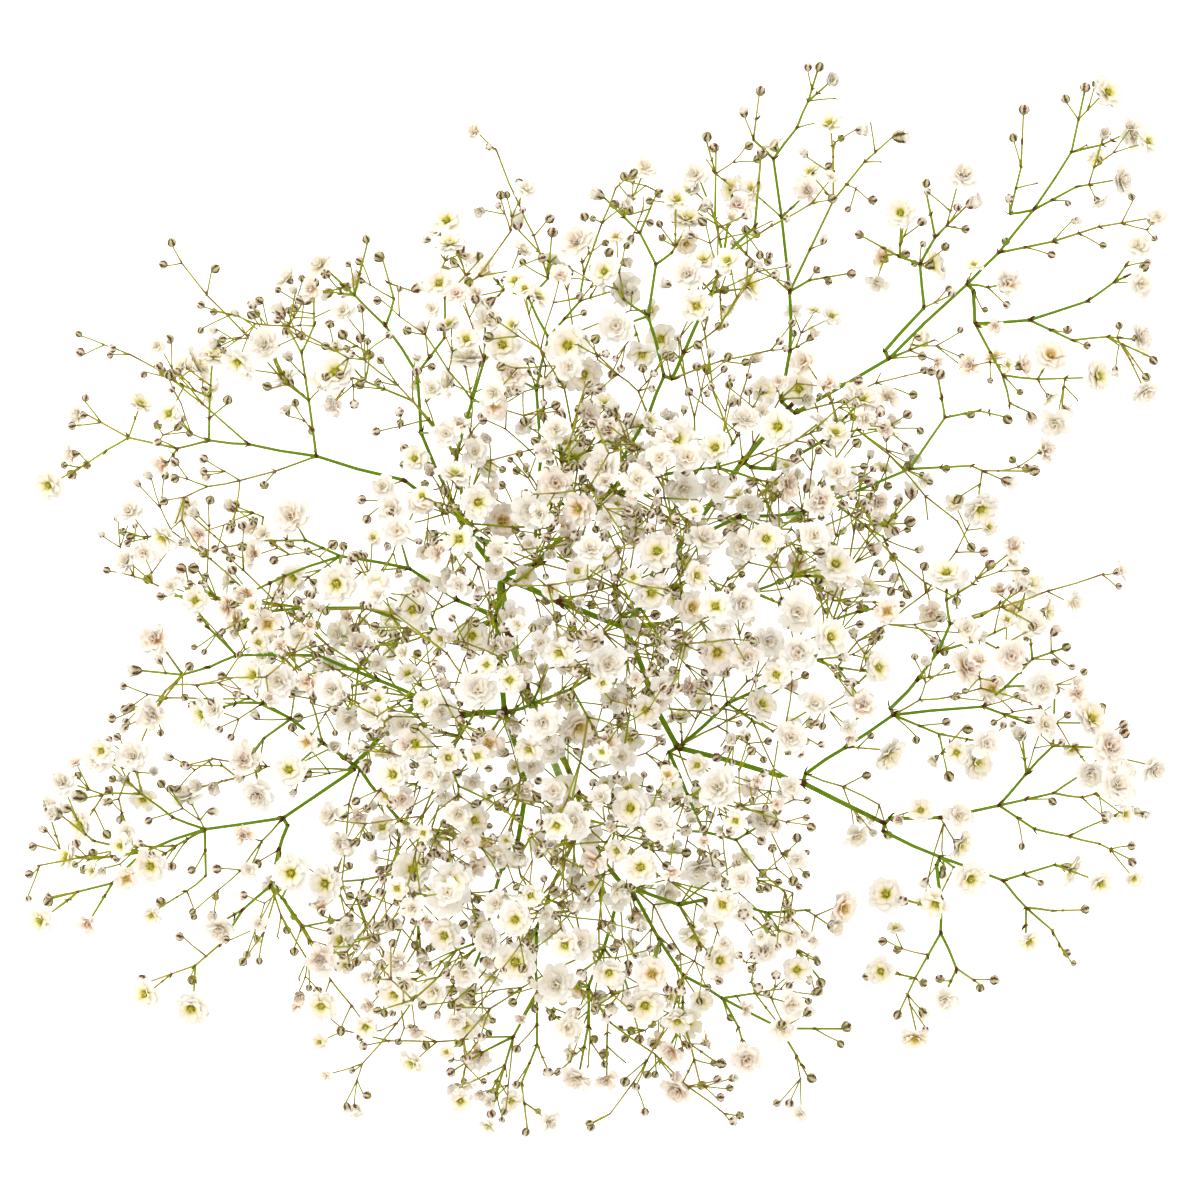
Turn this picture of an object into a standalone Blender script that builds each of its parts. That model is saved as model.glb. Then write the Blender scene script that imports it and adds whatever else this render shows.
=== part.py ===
"""A cut stem of double white gypsophila, laid down, with its open panicle spread round the crown.

The stem lies on the surface, its side axes leave the crown and rise into a low dome, and each axis
forks into thin pedicels with blooms and buds. Lengths are millimetres until a mesh is written.
The origin is under the middle of the spread, on the surface, with +Z up.
"""

import math
import random
from dataclasses import dataclass

import bmesh
import bpy
import numpy as np

METRES = 0.001

# The dome of blooms over the spread.
DOME_MIDDLE = (-8.0, -15.0)
DOME_REACH = 168.0
DOME_HEIGHT = 92.0
DOME_EDGE = 13.0
DOME_SPARE = 3.0
SPREAD_MIDDLE = (0.5, 0.0)
SPREAD = (143.0, 136.0)

# Radii of the stems, and how much a stem swells at a fork.
STEM_RADIUS = 1.15
CROWN_RADIUS = 0.85
CROWN_TIP_RADIUS = 0.66
AXIS_RADIUS = 0.56
AXIS_TIP_RADIUS = 0.36
TWIG_RADIUS = 0.42
PEDICEL_RADIUS = 0.3
TWIG_SHARE = 0.85
NODE_SWELL = 1.2
STEEP = 0.95

# Radii of the heads.
BUD_RADIUS = 1.4
BLOOM_RADII = (3.4, 5.0)
CUP_RADIUS = 2.9
HEAD_SPREAD = (0.85, 1.15)
LARGE_BLOOM_SIZE = 4.6
FLOOR_SHARE = 0.9

# How an axis arches, and how low it may run.
ARCH = 0.06
HUMP_PEAK = 4.0
LOWEST_AXIS = 1.2

# Which way a head looks: how far it keeps its stem's line, and how far it strays from it.
LINE_KEPT = 0.6
STRAY = 0.4
STRAY_UP = (-0.15, 0.25)
LEAST_NOD = 0.4
NOD_STEP = 0.2

# Pedicels: their length, the tries each gets, and what the forks bear.
PEDICEL_LENGTHS = (6.5, 12.0)
PEDICEL_LEANS = (0.6, 1.25)
PEDICEL_TRIES = 24
SHORTER = 0.75
END_FORK = 8.0
END_BARE = 0.45
END_BLOOMS = 0.75
END_BUDS = 0.12
INNER_BLOOMS = 0.1
CENTRE_BLOOMS = 0.42
CENTRE_REACH = 105.0
INNER_BUDS = 0.02

# Seats of the sprays beside the stem that carries them, and the gaps that are kept.
SEAT_GAP = 0.62
SEAT_RISE = 1.8
SEAT_SLOPE = 0.15
SEAT_SLIDES = (0.0, -2.0, -4.0, -6.0, -8.0)
SEAT_TURNS = (0.0, 0.8, -0.8, 1.6, -1.6, 2.4, -2.4)
BENDS = (0.0, 3.0, -3.0, 6.0, -6.0, 10.0)
BOWS = (0.0, 2.0, -2.0)
CLEARANCE = 0.55
OWN_CLEARANCE = 0.1
ROOT_CLEARANCE = -0.12
JOINT_REACH = 2.4
OWN_REACH = 6.0
NEIGHBOURS = 12.0
SAMPLE_STEP = 1.2
FAR = 1000.0
NEARER = 1e-6
LEAST_SQUARE = 1e-9
AXIS_SEED = 2000
PEDICEL_SEED = 20000

STEM_SIDES = 8
CROWN_SIDES = 6
AXIS_SIDES = 4
TWIG_SIDES = 3
FLAT_ANGLE = math.radians(3.0)
SHARP_ANGLE = math.radians(50.0)

BLOOM, CUP, BUD, CUT = "bloom", "cup", "bud", "cut"
HEAD_BASE = {BLOOM: 0.58, CUP: 0.8, BUD: 0.9, CUT: 0.0}
HEAD_LIFT = {BLOOM: 0.9, CUP: 0.35, BUD: 0.1, CUT: 0.0}

# Finishes: a name, a colour and a roughness, in the order of their slots.
FINISHES = (
    ("green_stem", (0.27, 0.42, 0.12), 0.6),
    ("white_petal", (0.94, 0.92, 0.84), 0.75),
    ("striped_bud", (0.46, 0.38, 0.26), 0.65),
)
STEM_SLOT, PETAL_SLOT, BUD_SLOT = 0, 1, 2


@dataclass
class Axis:
    """A hand-placed axis: how far its tip is lifted, as a share of the dome, what ends it, and its plan."""

    lift: float
    ending: str
    plan: tuple


@dataclass
class Spray:
    """One side branch: the node that carries it, and its axes, the first of which is its spine."""

    name: str
    carrier: str
    axes: tuple


def axis(lift, ending, *plan):
    """An axis through plan points, the first on its carrier and the last in the middle of its bloom."""
    return Axis(lift, ending, plan)


MAIN_STEM = (
    ((3, -76, 1.38), (-4, -57.5, 1.38), (-11, -38, 2.6), (-17, -22.5, 7), (-21, -9, 15), (-23, 6, 24)),
    ((-23, 6, 24), (-14, 9, 33), (-4, 20, 41), (8, 30.5, 47)),
    ((-23, 6, 24), (-24, -5, 28), (-23, -17, 32), (-22, -28, 34), (-16.5, -47, 34), (-19, -62.5, 30)),
    ((-24, -5, 28), (-40, -10.5, 33)),
    ((-22, -28, 34), (-33, -29, 36), (-44, -26, 34), (-53, -34, 31), (-61.5, -43, 27)),
    ((-23, 6, 24), (-8, -0.5, 28), (8.5, -7, 32), (16, -27, 35), (21.5, -37, 36), (53, -46, 31),
     (74, -56.5, 23)),
    ((8.5, -7, 32), (17, 7, 29), (25, 17.5, 27), (38, 35, 24), (51, 50, 22)),
    ((-23, 6, 24), (-31.5, 17, 33), (-36, 26, 40)),
    ((-17, -22.5, 7), (-9, -36, 14), (-3.5, -49, 20), (-2, -60, 23), (11, -76, 24)),
)

SPRAYS = (
    Spray("upper_right_spray", "main_stem", (
        axis(0.0, BUD, (51, 50), (75, 61), (95, 80), (103, 88), (112, 99), (122, 114), (126, 131)),
        axis(0.6, BUD, (112, 99), (106, 98), (109, 110), (110, 125)),
        axis(0.8, BLOOM, (112, 99), (123, 105), (135, 107)),
        axis(0.2, BLOOM, (122, 114), (130, 116), (138, 119)),
        axis(1.0, BLOOM, (95, 80), (100, 79), (105, 80)),
        axis(0.35, CUT, (75, 61), (87, 66)),
        axis(0.15, BUD, (103, 88), (117, 91), (129, 95), (143, 97)),
    )),
    Spray("far_right_spray", "upper_right_spray", (
        axis(0.0, BUD, (95, 80), (97, 70), (111, 71), (126, 76), (133, 81), (141, 85)),
        axis(0.9, BLOOM, (133, 81), (139, 90)),
        axis(0.3, BLOOM, (111, 71), (122, 66), (131, 67), (140, 67)),
        axis(0.1, BUD, (131, 67), (143, 61)),
        axis(0.5, BLOOM, (97, 70), (104, 57), (113, 56), (129, 57)),
        axis(0.2, CUP, (104, 57), (106, 50), (112, 46)),
        axis(0.8, BLOOM, (113, 56), (116, 62)),
    )),
    Spray("small_right_spray", "upper_right_spray", (
        axis(0.4, BUD, (75, 61), (84, 74), (83, 85), (87, 92), (85, 106)),
        axis(0.6, CUP, (87, 92), (97, 101)),
        axis(0.2, BUD, (83, 85), (78, 87), (68, 93)),
        axis(0.7, BLOOM, (78, 87), (78, 98)),
    )),
    Spray("top_spray", "main_stem", (
        axis(0.3, BUD, (51, 50), (50, 63), (50, 78), (48, 97), (46, 112), (52, 120), (55, 127), (58, 136)),
        axis(0.1, BUD, (46, 112), (41, 117), (43, 130)),
        axis(0.8, BLOOM, (50, 78), (61, 101), (61, 112), (60, 121)),
        axis(0.5, CUP, (61, 101), (69, 111), (79, 118)),
        axis(0.8, BLOOM, (48, 97), (54, 103)),
        axis(0.2, BUD, (50, 78), (55, 81), (66, 83)),
        axis(0.9, CUP, (55, 127), (61, 132)),
    )),
    Spray("north_east_spray", "main_stem", (
        axis(0.7, CUP, (8, 30.5), (14, 46), (18, 56), (14, 71), (16, 84), (12, 92), (1, 102)),
        axis(0.4, BUD, (12, 92), (17, 103)),
        axis(0.7, BLOOM, (16, 84), (20, 87), (24, 96)),
        axis(0.8, BLOOM, (14, 71), (8, 75), (3, 82)),
        axis(0.9, BLOOM, (14, 71), (6, 68)),
    )),
    Spray("upper_middle_spray", "north_east_spray", (
        axis(0.5, BUD, (18, 56), (23, 62), (30, 77), (33, 86), (41, 94), (43, 113)),
        axis(0.3, BUD, (33, 86), (31, 96), (31, 115)),
        axis(0.8, BLOOM, (31, 96), (26, 107)),
        axis(0.7, CUP, (33, 86), (37, 103)),
        axis(0.9, BLOOM, (30, 77), (26, 73)),
        axis(0.6, BLOOM, (30, 77), (40, 79)),
    )),
    Spray("north_spray", "main_stem", (
        axis(0.5, BLOOM, (-14, 9), (-13, 35), (-14, 53), (-11, 66), (-16, 76), (-22, 78), (-27, 83)),
        axis(0.4, BUD, (-16, 76), (-11, 81), (-10, 93)),
        axis(0.7, BLOOM, (-11, 66), (-3, 75), (-2, 82), (-4, 90)),
        axis(0.9, BLOOM, (-11, 66), (-6, 63)),
        axis(0.9, BLOOM, (-14, 53), (-20, 56)),
    )),
    Spray("north_west_spray", "main_stem", (
        axis(0.4, BLOOM, (-36, 26), (-43, 42), (-44, 57), (-52, 69), (-60, 77), (-69, 85)),
        axis(0.3, BUD, (-52, 69), (-50, 76), (-54, 87)),
        axis(0.5, BUD, (-60, 77), (-57, 91)),
        axis(0.6, BLOOM, (-44, 57), (-37, 66), (-37, 76), (-38, 83), (-36, 90)),
        axis(0.3, BUD, (-37, 76), (-29, 87)),
        axis(0.9, BLOOM, (-43, 42), (-36, 41)),
    )),
    Spray("inner_north_spray", "main_stem", (
        axis(0.6, BLOOM, (-36, 26), (-34, 36), (-30, 50), (-27, 60), (-26, 70)),
        axis(0.4, BUD, (-34, 36), (-45, 50), (-57, 55), (-56, 62), (-63, 67)),
        axis(0.8, BLOOM, (-57, 55), (-64, 57)),
        axis(0.9, BLOOM, (-30, 50), (-24, 48)),
    )),
    Spray("west_upper_spray", "main_stem", (
        axis(0.7, BLOOM, (-36, 26), (-47, 30), (-69, 36), (-86, 39), (-96, 40), (-104, 38), (-108, 34)),
        axis(0.2, BLOOM, (-104, 38), (-117, 41), (-131, 47)),
        axis(0.0, BUD, (-117, 41), (-123, 38), (-133, 32)),
        axis(0.6, BLOOM, (-96, 40), (-96, 51), (-95, 62)),
        axis(0.3, BUD, (-96, 51), (-103, 54), (-109, 58)),
        axis(0.4, BUD, (-69, 36), (-71, 50), (-73, 62), (-70, 69), (-70, 80)),
        axis(0.8, BLOOM, (-71, 50), (-76, 54), (-82, 64)),
        axis(0.1, CUP, (-73, 62), (-80, 74)),
    )),
    Spray("west_middle_spray", "main_stem", (
        axis(0.6, BLOOM, (-24, -5), (-34, 0), (-46, 8), (-63, 11), (-77, 6), (-87, 1)),
        axis(0.1, BUD, (-63, 11), (-72, 15), (-84, 15), (-99, 12)),
        axis(0.4, BUD, (-84, 15), (-83, 21), (-90, 24)),
        axis(0.8, BLOOM, (-72, 15), (-75, 21)),
        axis(0.9, BLOOM, (-46, 8), (-48, 17)),
        axis(0.9, BLOOM, (-63, 11), (-63, 4)),
    )),
    Spray("west_spray", "main_stem", (
        axis(0.1, BUD, (-40, -10.5), (-57, -2), (-70, -2), (-84, -3), (-96, 1), (-110, 1)),
        axis(0.7, BLOOM, (-70, -2), (-73, -9)),
        axis(0.9, BLOOM, (-57, -2), (-53, 4)),
        axis(0.3, BUD, (-96, 1), (-101, 8)),
    )),
    Spray("west_lower_spray", "main_stem", (
        axis(0.1, CUP, (-44, -26), (-54, -20), (-69, -14), (-90, -14), (-97, -17), (-104, -19), (-117, -18)),
        axis(0.5, BLOOM, (-104, -19), (-108, -23), (-111, -29)),
        axis(0.6, BLOOM, (-104, -19), (-110, -10)),
        axis(0.3, BUD, (-90, -14), (-97, -7), (-101, -1), (-104, 8)),
        axis(0.8, BLOOM, (-69, -14), (-78, -20)),
        axis(0.9, BLOOM, (-54, -20), (-64, -22)),
    )),
    Spray("inner_west_spray", "main_stem", (
        axis(0.3, BLOOM, (-61.5, -43), (-68, -36), (-76, -30), (-83, -26), (-90, -26), (-99, -29)),
        axis(0.1, BUD, (-76, -30), (-83, -35), (-90, -45), (-94, -42), (-104, -42)),
        axis(0.7, BLOOM, (-83, -35), (-87, -40)),
        axis(0.9, BLOOM, (-68, -36), (-75, -42)),
        axis(0.4, CUP, (-90, -45), (-100, -47)),
    )),
    Spray("south_west_spray", "main_stem", (
        axis(0.0, BUD, (-61.5, -43), (-78, -55), (-98, -58), (-114, -64), (-122, -72), (-139, -77)),
        axis(0.6, CUP, (-114, -64), (-126, -61), (-136, -54)),
        axis(0.0, BUD, (-114, -64), (-128, -66), (-143, -63)),
        axis(0.4, CUP, (-98, -58), (-106, -55), (-114, -49), (-124, -40)),
        axis(0.1, CUP, (-114, -49), (-122, -49), (-131, -50)),
        axis(0.8, BLOOM, (-114, -49), (-115, -39)),
        axis(0.1, BUD, (-98, -58), (-98, -70), (-103, -74), (-110, -77)),
        axis(0.7, BLOOM, (-98, -58), (-105, -62), (-111, -67)),
        axis(0.5, BLOOM, (-122, -72), (-128, -82)),
    )),
    Spray("south_west_low_spray", "south_west_spray", (
        axis(0.5, BLOOM, (-78, -55), (-79, -63), (-81, -72), (-88, -78), (-94, -83)),
        axis(0.0, BUD, (-88, -78), (-94, -87), (-101, -93), (-115, -97)),
        axis(0.3, BLOOM, (-101, -93), (-102, -104)),
        axis(0.7, BLOOM, (-81, -72), (-78, -75), (-73, -82), (-68, -90)),
        axis(0.1, BUD, (-73, -82), (-62, -81)),
        axis(0.8, BLOOM, (-78, -75), (-75, -68)),
    )),
    Spray("south_inner_spray", "main_stem", (
        axis(0.3, CUP, (-61.5, -43), (-54, -49), (-48, -56), (-50, -69), (-45, -74), (-44, -81), (-43, -90)),
        axis(0.1, BUD, (-50, -69), (-58, -71), (-60, -76), (-63, -82)),
        axis(0.6, BLOOM, (-58, -71), (-67, -71)),
        axis(0.8, BLOOM, (-48, -56), (-39, -59), (-31, -60)),
        axis(0.9, BLOOM, (-54, -49), (-49, -43)),
        axis(0.7, BLOOM, (-45, -74), (-36, -74)),
    )),
    Spray("south_spray", "main_stem", (
        axis(0.0, BUD, (-19, -62.5), (-25, -75), (-27, -86), (-32, -98), (-34, -113)),
        axis(0.6, BLOOM, (-27, -86), (-34, -88), (-37, -84)),
        axis(0.2, BUD, (-34, -88), (-42, -92), (-49, -94)),
        axis(0.9, BLOOM, (-25, -75), (-19, -79)),
    )),
    Spray("south_middle_spray", "main_stem", (
        axis(0.0, CUP, (-2, -60), (-10, -72), (-14, -83), (-14, -100), (-20, -111), (-26, -127)),
        axis(0.2, BUD, (-20, -111), (-28, -115), (-36, -120)),
        axis(0.0, BUD, (-14, -100), (-14, -113), (-18, -123), (-17, -136)),
        axis(0.7, BLOOM, (-14, -100), (-10, -104), (-6, -107)),
        axis(0.8, BLOOM, (-14, -83), (-19, -90)),
    )),
    Spray("south_fork_spray", "main_stem", (
        axis(0.2, BLOOM, (11, -76), (3, -88), (-1, -98), (-1, -108), (-4, -122)),
        axis(0.0, BUD, (-1, -98), (4, -107), (3, -116)),
        axis(0.7, BLOOM, (-1, -98), (-9, -96)),
        axis(0.1, BUD, (3, -88), (8, -95), (10, -103), (12, -112)),
        axis(0.8, BLOOM, (3, -88), (-3, -85)),
    )),
    Spray("south_east_spray", "main_stem", (
        axis(0.0, BUD, (11, -76), (17, -86), (23, -95), (33, -101), (48, -109), (65, -109)),
        axis(0.1, BUD, (48, -109), (52, -116), (56, -122)),
        axis(0.0, BUD, (23, -95), (23, -107), (25, -113), (28, -124)),
        axis(0.1, BUD, (23, -107), (19, -115), (14, -121)),
        axis(0.5, BLOOM, (33, -101), (37, -108), (39, -116)),
        axis(0.8, BLOOM, (33, -101), (41, -99), (50, -101)),
        axis(0.8, BLOOM, (17, -86), (15, -93)),
    )),
    Spray("inner_east_south_spray", "main_stem", (
        axis(0.3, BUD, (11, -76), (22, -77), (32, -75), (44, -79), (52, -89), (58, -97)),
        axis(0.7, BLOOM, (22, -77), (27, -86), (32, -90)),
        axis(0.9, BLOOM, (32, -75), (37, -69)),
        axis(0.6, CUP, (44, -79), (54, -78), (61, -82)),
        axis(0.8, BLOOM, (44, -79), (43, -87)),
    )),
    Spray("south_centre_spray", "main_stem", (
        axis(0.6, BLOOM, (21.5, -37), (24, -49), (28, -58), (36, -60), (43, -55)),
        axis(0.9, BLOOM, (28, -58), (17, -57), (12, -66)),
        axis(0.8, BLOOM, (17, -57), (6, -56), (0, -65)),
        axis(0.9, BLOOM, (24, -49), (31, -46)),
    )),
    Spray("east_spray", "main_stem", (
        axis(0.1, BUD, (53, -46), (64, -37), (76, -29), (99, -27), (105, -22), (112, -15), (121, -12)),
        axis(0.3, BUD, (112, -15), (111, -3)),
        axis(0.4, BLOOM, (99, -27), (110, -31), (127, -30)),
        axis(0.1, BUD, (76, -29), (88, -34), (91, -45)),
        axis(0.7, BLOOM, (88, -34), (99, -36)),
        axis(0.8, BLOOM, (105, -22), (113, -22)),
        axis(0.9, BLOOM, (64, -37), (67, -26)),
    )),
    Spray("east_upper_spray", "east_spray", (
        axis(0.6, BLOOM, (76, -29), (82, -20), (87, -13), (90, -6), (89, 0), (89, 7)),
        axis(0.3, BUD, (89, 0), (96, 4), (101, 9)),
        axis(0.5, CUP, (90, -6), (98, -4), (109, 4)),
        axis(0.2, BLOOM, (87, -13), (98, -10), (107, -6), (116, -3)),
        axis(0.8, BLOOM, (98, -10), (105, -14)),
    )),
    Spray("far_east_spray", "main_stem", (
        axis(0.2, BUD, (74, -56.5), (88, -55), (103, -52), (110, -44), (117, -37), (118, -23)),
        axis(0.5, BLOOM, (117, -37), (131, -37)),
        axis(0.0, BUD, (103, -52), (117, -49), (125, -44), (136, -34)),
        axis(0.8, BLOOM, (117, -49), (124, -50), (133, -47)),
        axis(0.2, CUP, (103, -52), (112, -58), (121, -60), (130, -56), (138, -54)),
        axis(0.0, BUD, (121, -60), (129, -62), (138, -67)),
        axis(0.5, CUP, (110, -44), (108, -34)),
    )),
    Spray("south_east_far_spray", "main_stem", (
        axis(0.4, BLOOM, (74, -56.5), (88, -65), (104, -71), (110, -78), (111, -87)),
        axis(0.7, BLOOM, (104, -71), (117, -67), (129, -72)),
        axis(0.0, BUD, (110, -78), (117, -79), (126, -79)),
        axis(0.8, BLOOM, (88, -65), (95, -70)),
        axis(0.2, BUD, (110, -78), (117, -84), (121, -90)),
    )),
    Spray("south_east_low_spray", "south_east_far_spray", (
        axis(0.6, BLOOM, (88, -65), (88, -75), (88, -84), (92, -93), (89, -101)),
        axis(0.5, BLOOM, (88, -75), (84, -77), (74, -74)),
        axis(0.0, BUD, (88, -84), (82, -96), (78, -106)),
        axis(0.1, BUD, (92, -93), (99, -99)),
        axis(0.4, BLOOM, (82, -96), (73, -94)),
    )),
    Spray("east_middle_spray", "main_stem", (
        axis(0.2, BUD, (21.5, -37), (34, -26), (47, -20), (56, -15), (61, -5), (67, -3), (77, -1)),
        axis(0.1, BUD, (56, -15), (62, -17), (74, -19)),
        axis(0.9, BLOOM, (47, -20), (51, -13)),
        axis(0.7, BLOOM, (62, -17), (67, -25)),
        axis(0.9, BLOOM, (34, -26), (40, -30), (49, -34)),
    )),
    Spray("inner_east_spray", "main_stem", (
        axis(0.6, BLOOM, (8.5, -7), (27, -5), (40, 2), (50, 6), (63, 6)),
        axis(0.3, BUD, (50, 6), (52, 12), (61, 13)),
        axis(0.95, BLOOM, (27, -5), (37, -1)),
        axis(0.8, BLOOM, (40, 2), (51, -3)),
        axis(0.8, BLOOM, (27, -5), (31, -13)),
    )),
    Spray("east_north_east_spray", "main_stem", (
        axis(0.5, BUD, (25, 17.5), (37, 21), (53, 22), (60, 25), (80, 33), (89, 46), (88, 57)),
        axis(0.2, CUP, (80, 33), (96, 34), (106, 30)),
        axis(0.1, BUD, (89, 46), (98, 48), (106, 46)),
        axis(0.1, BUD, (60, 25), (69, 19), (81, 20)),
        axis(0.0, BUD, (69, 19), (74, 16), (77, 11)),
        axis(0.9, BLOOM, (53, 22), (43, 15)),
        axis(0.8, BLOOM, (60, 25), (61, 32)),
    )),
    Spray("upper_inner_spray", "main_stem", (
        axis(0.5, BLOOM, (38, 35), (46, 33), (58, 40), (62, 44), (68, 51)),
        axis(0.3, CUP, (58, 40), (67, 43), (76, 45)),
        axis(0.9, BLOOM, (46, 33), (46, 43)),
        axis(0.8, BLOOM, (62, 44), (59, 54)),
    )),
    Spray("inner_north_east_spray", "main_stem", (
        axis(0.8, BLOOM, (8, 30.5), (16, 31), (31, 33), (35, 39), (38, 45)),
        axis(0.95, BLOOM, (16, 31), (11, 27)),
        axis(0.7, BLOOM, (31, 33), (41, 30), (49, 29)),
        axis(0.9, BLOOM, (16, 31), (21, 40)),
    )),
    Spray("crown_spray", "main_stem", (
        axis(0.9, BLOOM, (-31.5, 17), (-30, 16), (-27, 15), (-23, 12)),
        axis(0.95, BLOOM, (-30, 16), (-30, 19), (-28, 24)),
        axis(0.8, BLOOM, (-30, 16), (-34, 14), (-38, 12)),
    )),
    Spray("centre_spray", "main_stem", (
        axis(0.95, BLOOM, (8.5, -7), (12, -2), (14, 4), (16, 12)),
        axis(0.85, BLOOM, (12, -2), (6, 3), (3, 10)),
        axis(0.9, BLOOM, (14, 4), (20, 3), (26, 6)),
        axis(0.7, BLOOM, (12, -2), (16, -8), (22, -12)),
    )),
    Spray("south_crown_spray", "main_stem", (
        axis(0.9, BLOOM, (-22, -28), (-15, -26), (-5, -22), (4, -16)),
        axis(0.95, BLOOM, (-15, -26), (-12, -30)),
        axis(0.8, BLOOM, (-5, -22), (-1, -29), (3, -36)),
        axis(0.7, BLOOM, (-15, -26), (-11, -17), (-7, -10)),
    )),
    Spray("south_west_crown_spray", "main_stem", (
        axis(0.9, BLOOM, (-33, -29), (-33, -34), (-36, -39), (-40, -43)),
        axis(0.95, BLOOM, (-33, -34), (-29, -28), (-28, -22)),
        axis(0.8, BLOOM, (-36, -39), (-33, -46), (-33, -53)),
        axis(0.7, BLOOM, (-33, -34), (-41, -32), (-47, -31)),
    )),
    Spray("centre_north_spray", "main_stem", (
        axis(0.9, BLOOM, (-4, 20), (-5, 27), (-7, 34), (-9, 42)),
        axis(0.9, BLOOM, (-5, 27), (0, 24), (4, 20)),
        axis(0.8, BLOOM, (-5, 27), (-10, 24), (-15, 22)),
        axis(0.8, BLOOM, (-7, 34), (-1, 37), (4, 42)),
    )),
)


def length_of(v):
    """Length of a vector."""
    return math.sqrt(v[0] * v[0] + v[1] * v[1] + v[2] * v[2])


def unit(v):
    """The vector scaled to one millimetre."""
    size = length_of(v) or 1.0
    return (v[0] / size, v[1] / size, v[2] / size)


def plus(a, b, scale=1.0):
    """One vector plus a share of another."""
    return (a[0] + b[0] * scale, a[1] + b[1] * scale, a[2] + b[2] * scale)


def minus(a, b):
    """One vector less another."""
    return (a[0] - b[0], a[1] - b[1], a[2] - b[2])


def dot(a, b):
    """Scalar product."""
    return a[0] * b[0] + a[1] * b[1] + a[2] * b[2]


def cross(a, b):
    """Vector product."""
    return (a[1] * b[2] - a[2] * b[1], a[2] * b[0] - a[0] * b[2], a[0] * b[1] - a[1] * b[0])


def side_of(direction):
    """A unit vector square to a direction, level where it can be."""
    if abs(direction[2]) > STEEP:
        return unit(cross(direction, (0.0, 1.0, 0.0)))
    return unit(cross(direction, (0.0, 0.0, 1.0)))


def dome(x, y):
    """Height of the dome of blooms over a point of the plan."""
    east, north = x - DOME_MIDDLE[0], y - DOME_MIDDLE[1]
    share = (east * east + north * north) / (DOME_REACH * DOME_REACH)
    return DOME_EDGE + (DOME_HEIGHT - DOME_EDGE) * max(0.0, 1.0 - share)


@dataclass
class Stalk:
    """One tube of a node: its centre line, its radii, and the head that ends it."""

    line: list
    radii: list
    sides: int
    head: str = CUT
    size: float = 0.0
    facing: tuple = (0.0, 0.0, 1.0)

    def centre(self):
        """Middle of the head, which the tube ends just short of."""
        return plus(self.line[-1], self.facing, HEAD_BASE[self.head] * self.size)


class Space:
    """What is placed so far: tapering segments and round heads, each with the node that owns it."""

    def __init__(self, room=12000):
        self.count = 0
        self.start = np.zeros((room, 3))
        self.span = np.zeros((room, 3))
        self.radius = np.zeros(room)
        self.owner = np.zeros(room, dtype=int)

    def add(self, start, end, radius, owner):
        """Take up the room of one segment."""
        self.start[self.count] = start
        self.span[self.count] = minus(end, start)
        self.radius[self.count] = radius
        self.owner[self.count] = owner
        self.count += 1

    def add_stalk(self, stalk, owner):
        """Take up the room of a stalk and of its head."""
        for i in range(len(stalk.line) - 1):
            thick = max(stalk.radii[i], stalk.radii[i + 1])
            self.add(stalk.line[i], stalk.line[i + 1], thick, owner)
        if stalk.head != CUT:
            self.add(stalk.centre(), stalk.centre(), stalk.size, owner)

    def gap(self, points, radii, skipped):
        """Least clear distance from sampled balls to what is placed, without the skipped owners."""
        if not len(points) or not self.count:
            return FAR
        used = np.ones(self.count, dtype=bool)
        for owner in skipped:
            used &= self.owner[: self.count] != owner
        start, span = self.start[: self.count][used], self.span[: self.count][used]
        thick = self.radius[: self.count][used]
        if not len(start):
            return FAR
        low, high = points.min(axis=0) - NEIGHBOURS, points.max(axis=0) + NEIGHBOURS
        end = start + span
        near = np.all((np.minimum(start, end) < high) & (np.maximum(start, end) > low), axis=1)
        if not near.any():
            return FAR
        start, span, thick = start[near], span[near], thick[near]
        apart = points[:, None, :] - start[None, :, :]
        along = (apart * span[None]).sum(axis=2) / np.maximum((span * span).sum(axis=1), LEAST_SQUARE)[None]
        off = apart - np.clip(along, 0.0, 1.0)[:, :, None] * span[None]
        clear = np.sqrt((off * off).sum(axis=2)) - radii[:, None] - thick[None]
        return float(clear.min())


def samples(stalk):
    """Balls along a stalk with their distance from its root, the head's own ball last."""
    points, radii, reach = [], [], []
    gone = 0.0
    for i in range(len(stalk.line) - 1):
        start, end = stalk.line[i], stalk.line[i + 1]
        span = minus(end, start)
        long = length_of(span)
        count = max(1, int(long / SAMPLE_STEP))
        for k in range(count):
            share = k / count
            points.append(plus(start, span, share))
            radii.append(stalk.radii[i] + (stalk.radii[i + 1] - stalk.radii[i]) * share)
            reach.append(gone + long * share)
        gone += long
    points.append(stalk.centre())
    radii.append(max(stalk.size, stalk.radii[-1]))
    reach.append(gone)
    return np.array(points), np.array(radii), np.array(reach)


def clear_distance(space, stalk, owner, carrier, own_reach):
    """Least gap of a stalk to the others, easing the rule close to its root and inside its own node."""
    points, radii, reach = samples(stalk)
    root = reach < JOINT_REACH
    best = space.gap(points[root], radii[root], (owner, carrier))
    best = min(best, space.gap(points[root], radii[root], (owner,)) + CLEARANCE - ROOT_CLEARANCE)
    best = min(best, space.gap(points[~root], radii[~root], (owner,)))
    free = reach > own_reach
    return min(best, space.gap(points[free], radii[free], ()) + CLEARANCE - OWN_CLEARANCE)


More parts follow.
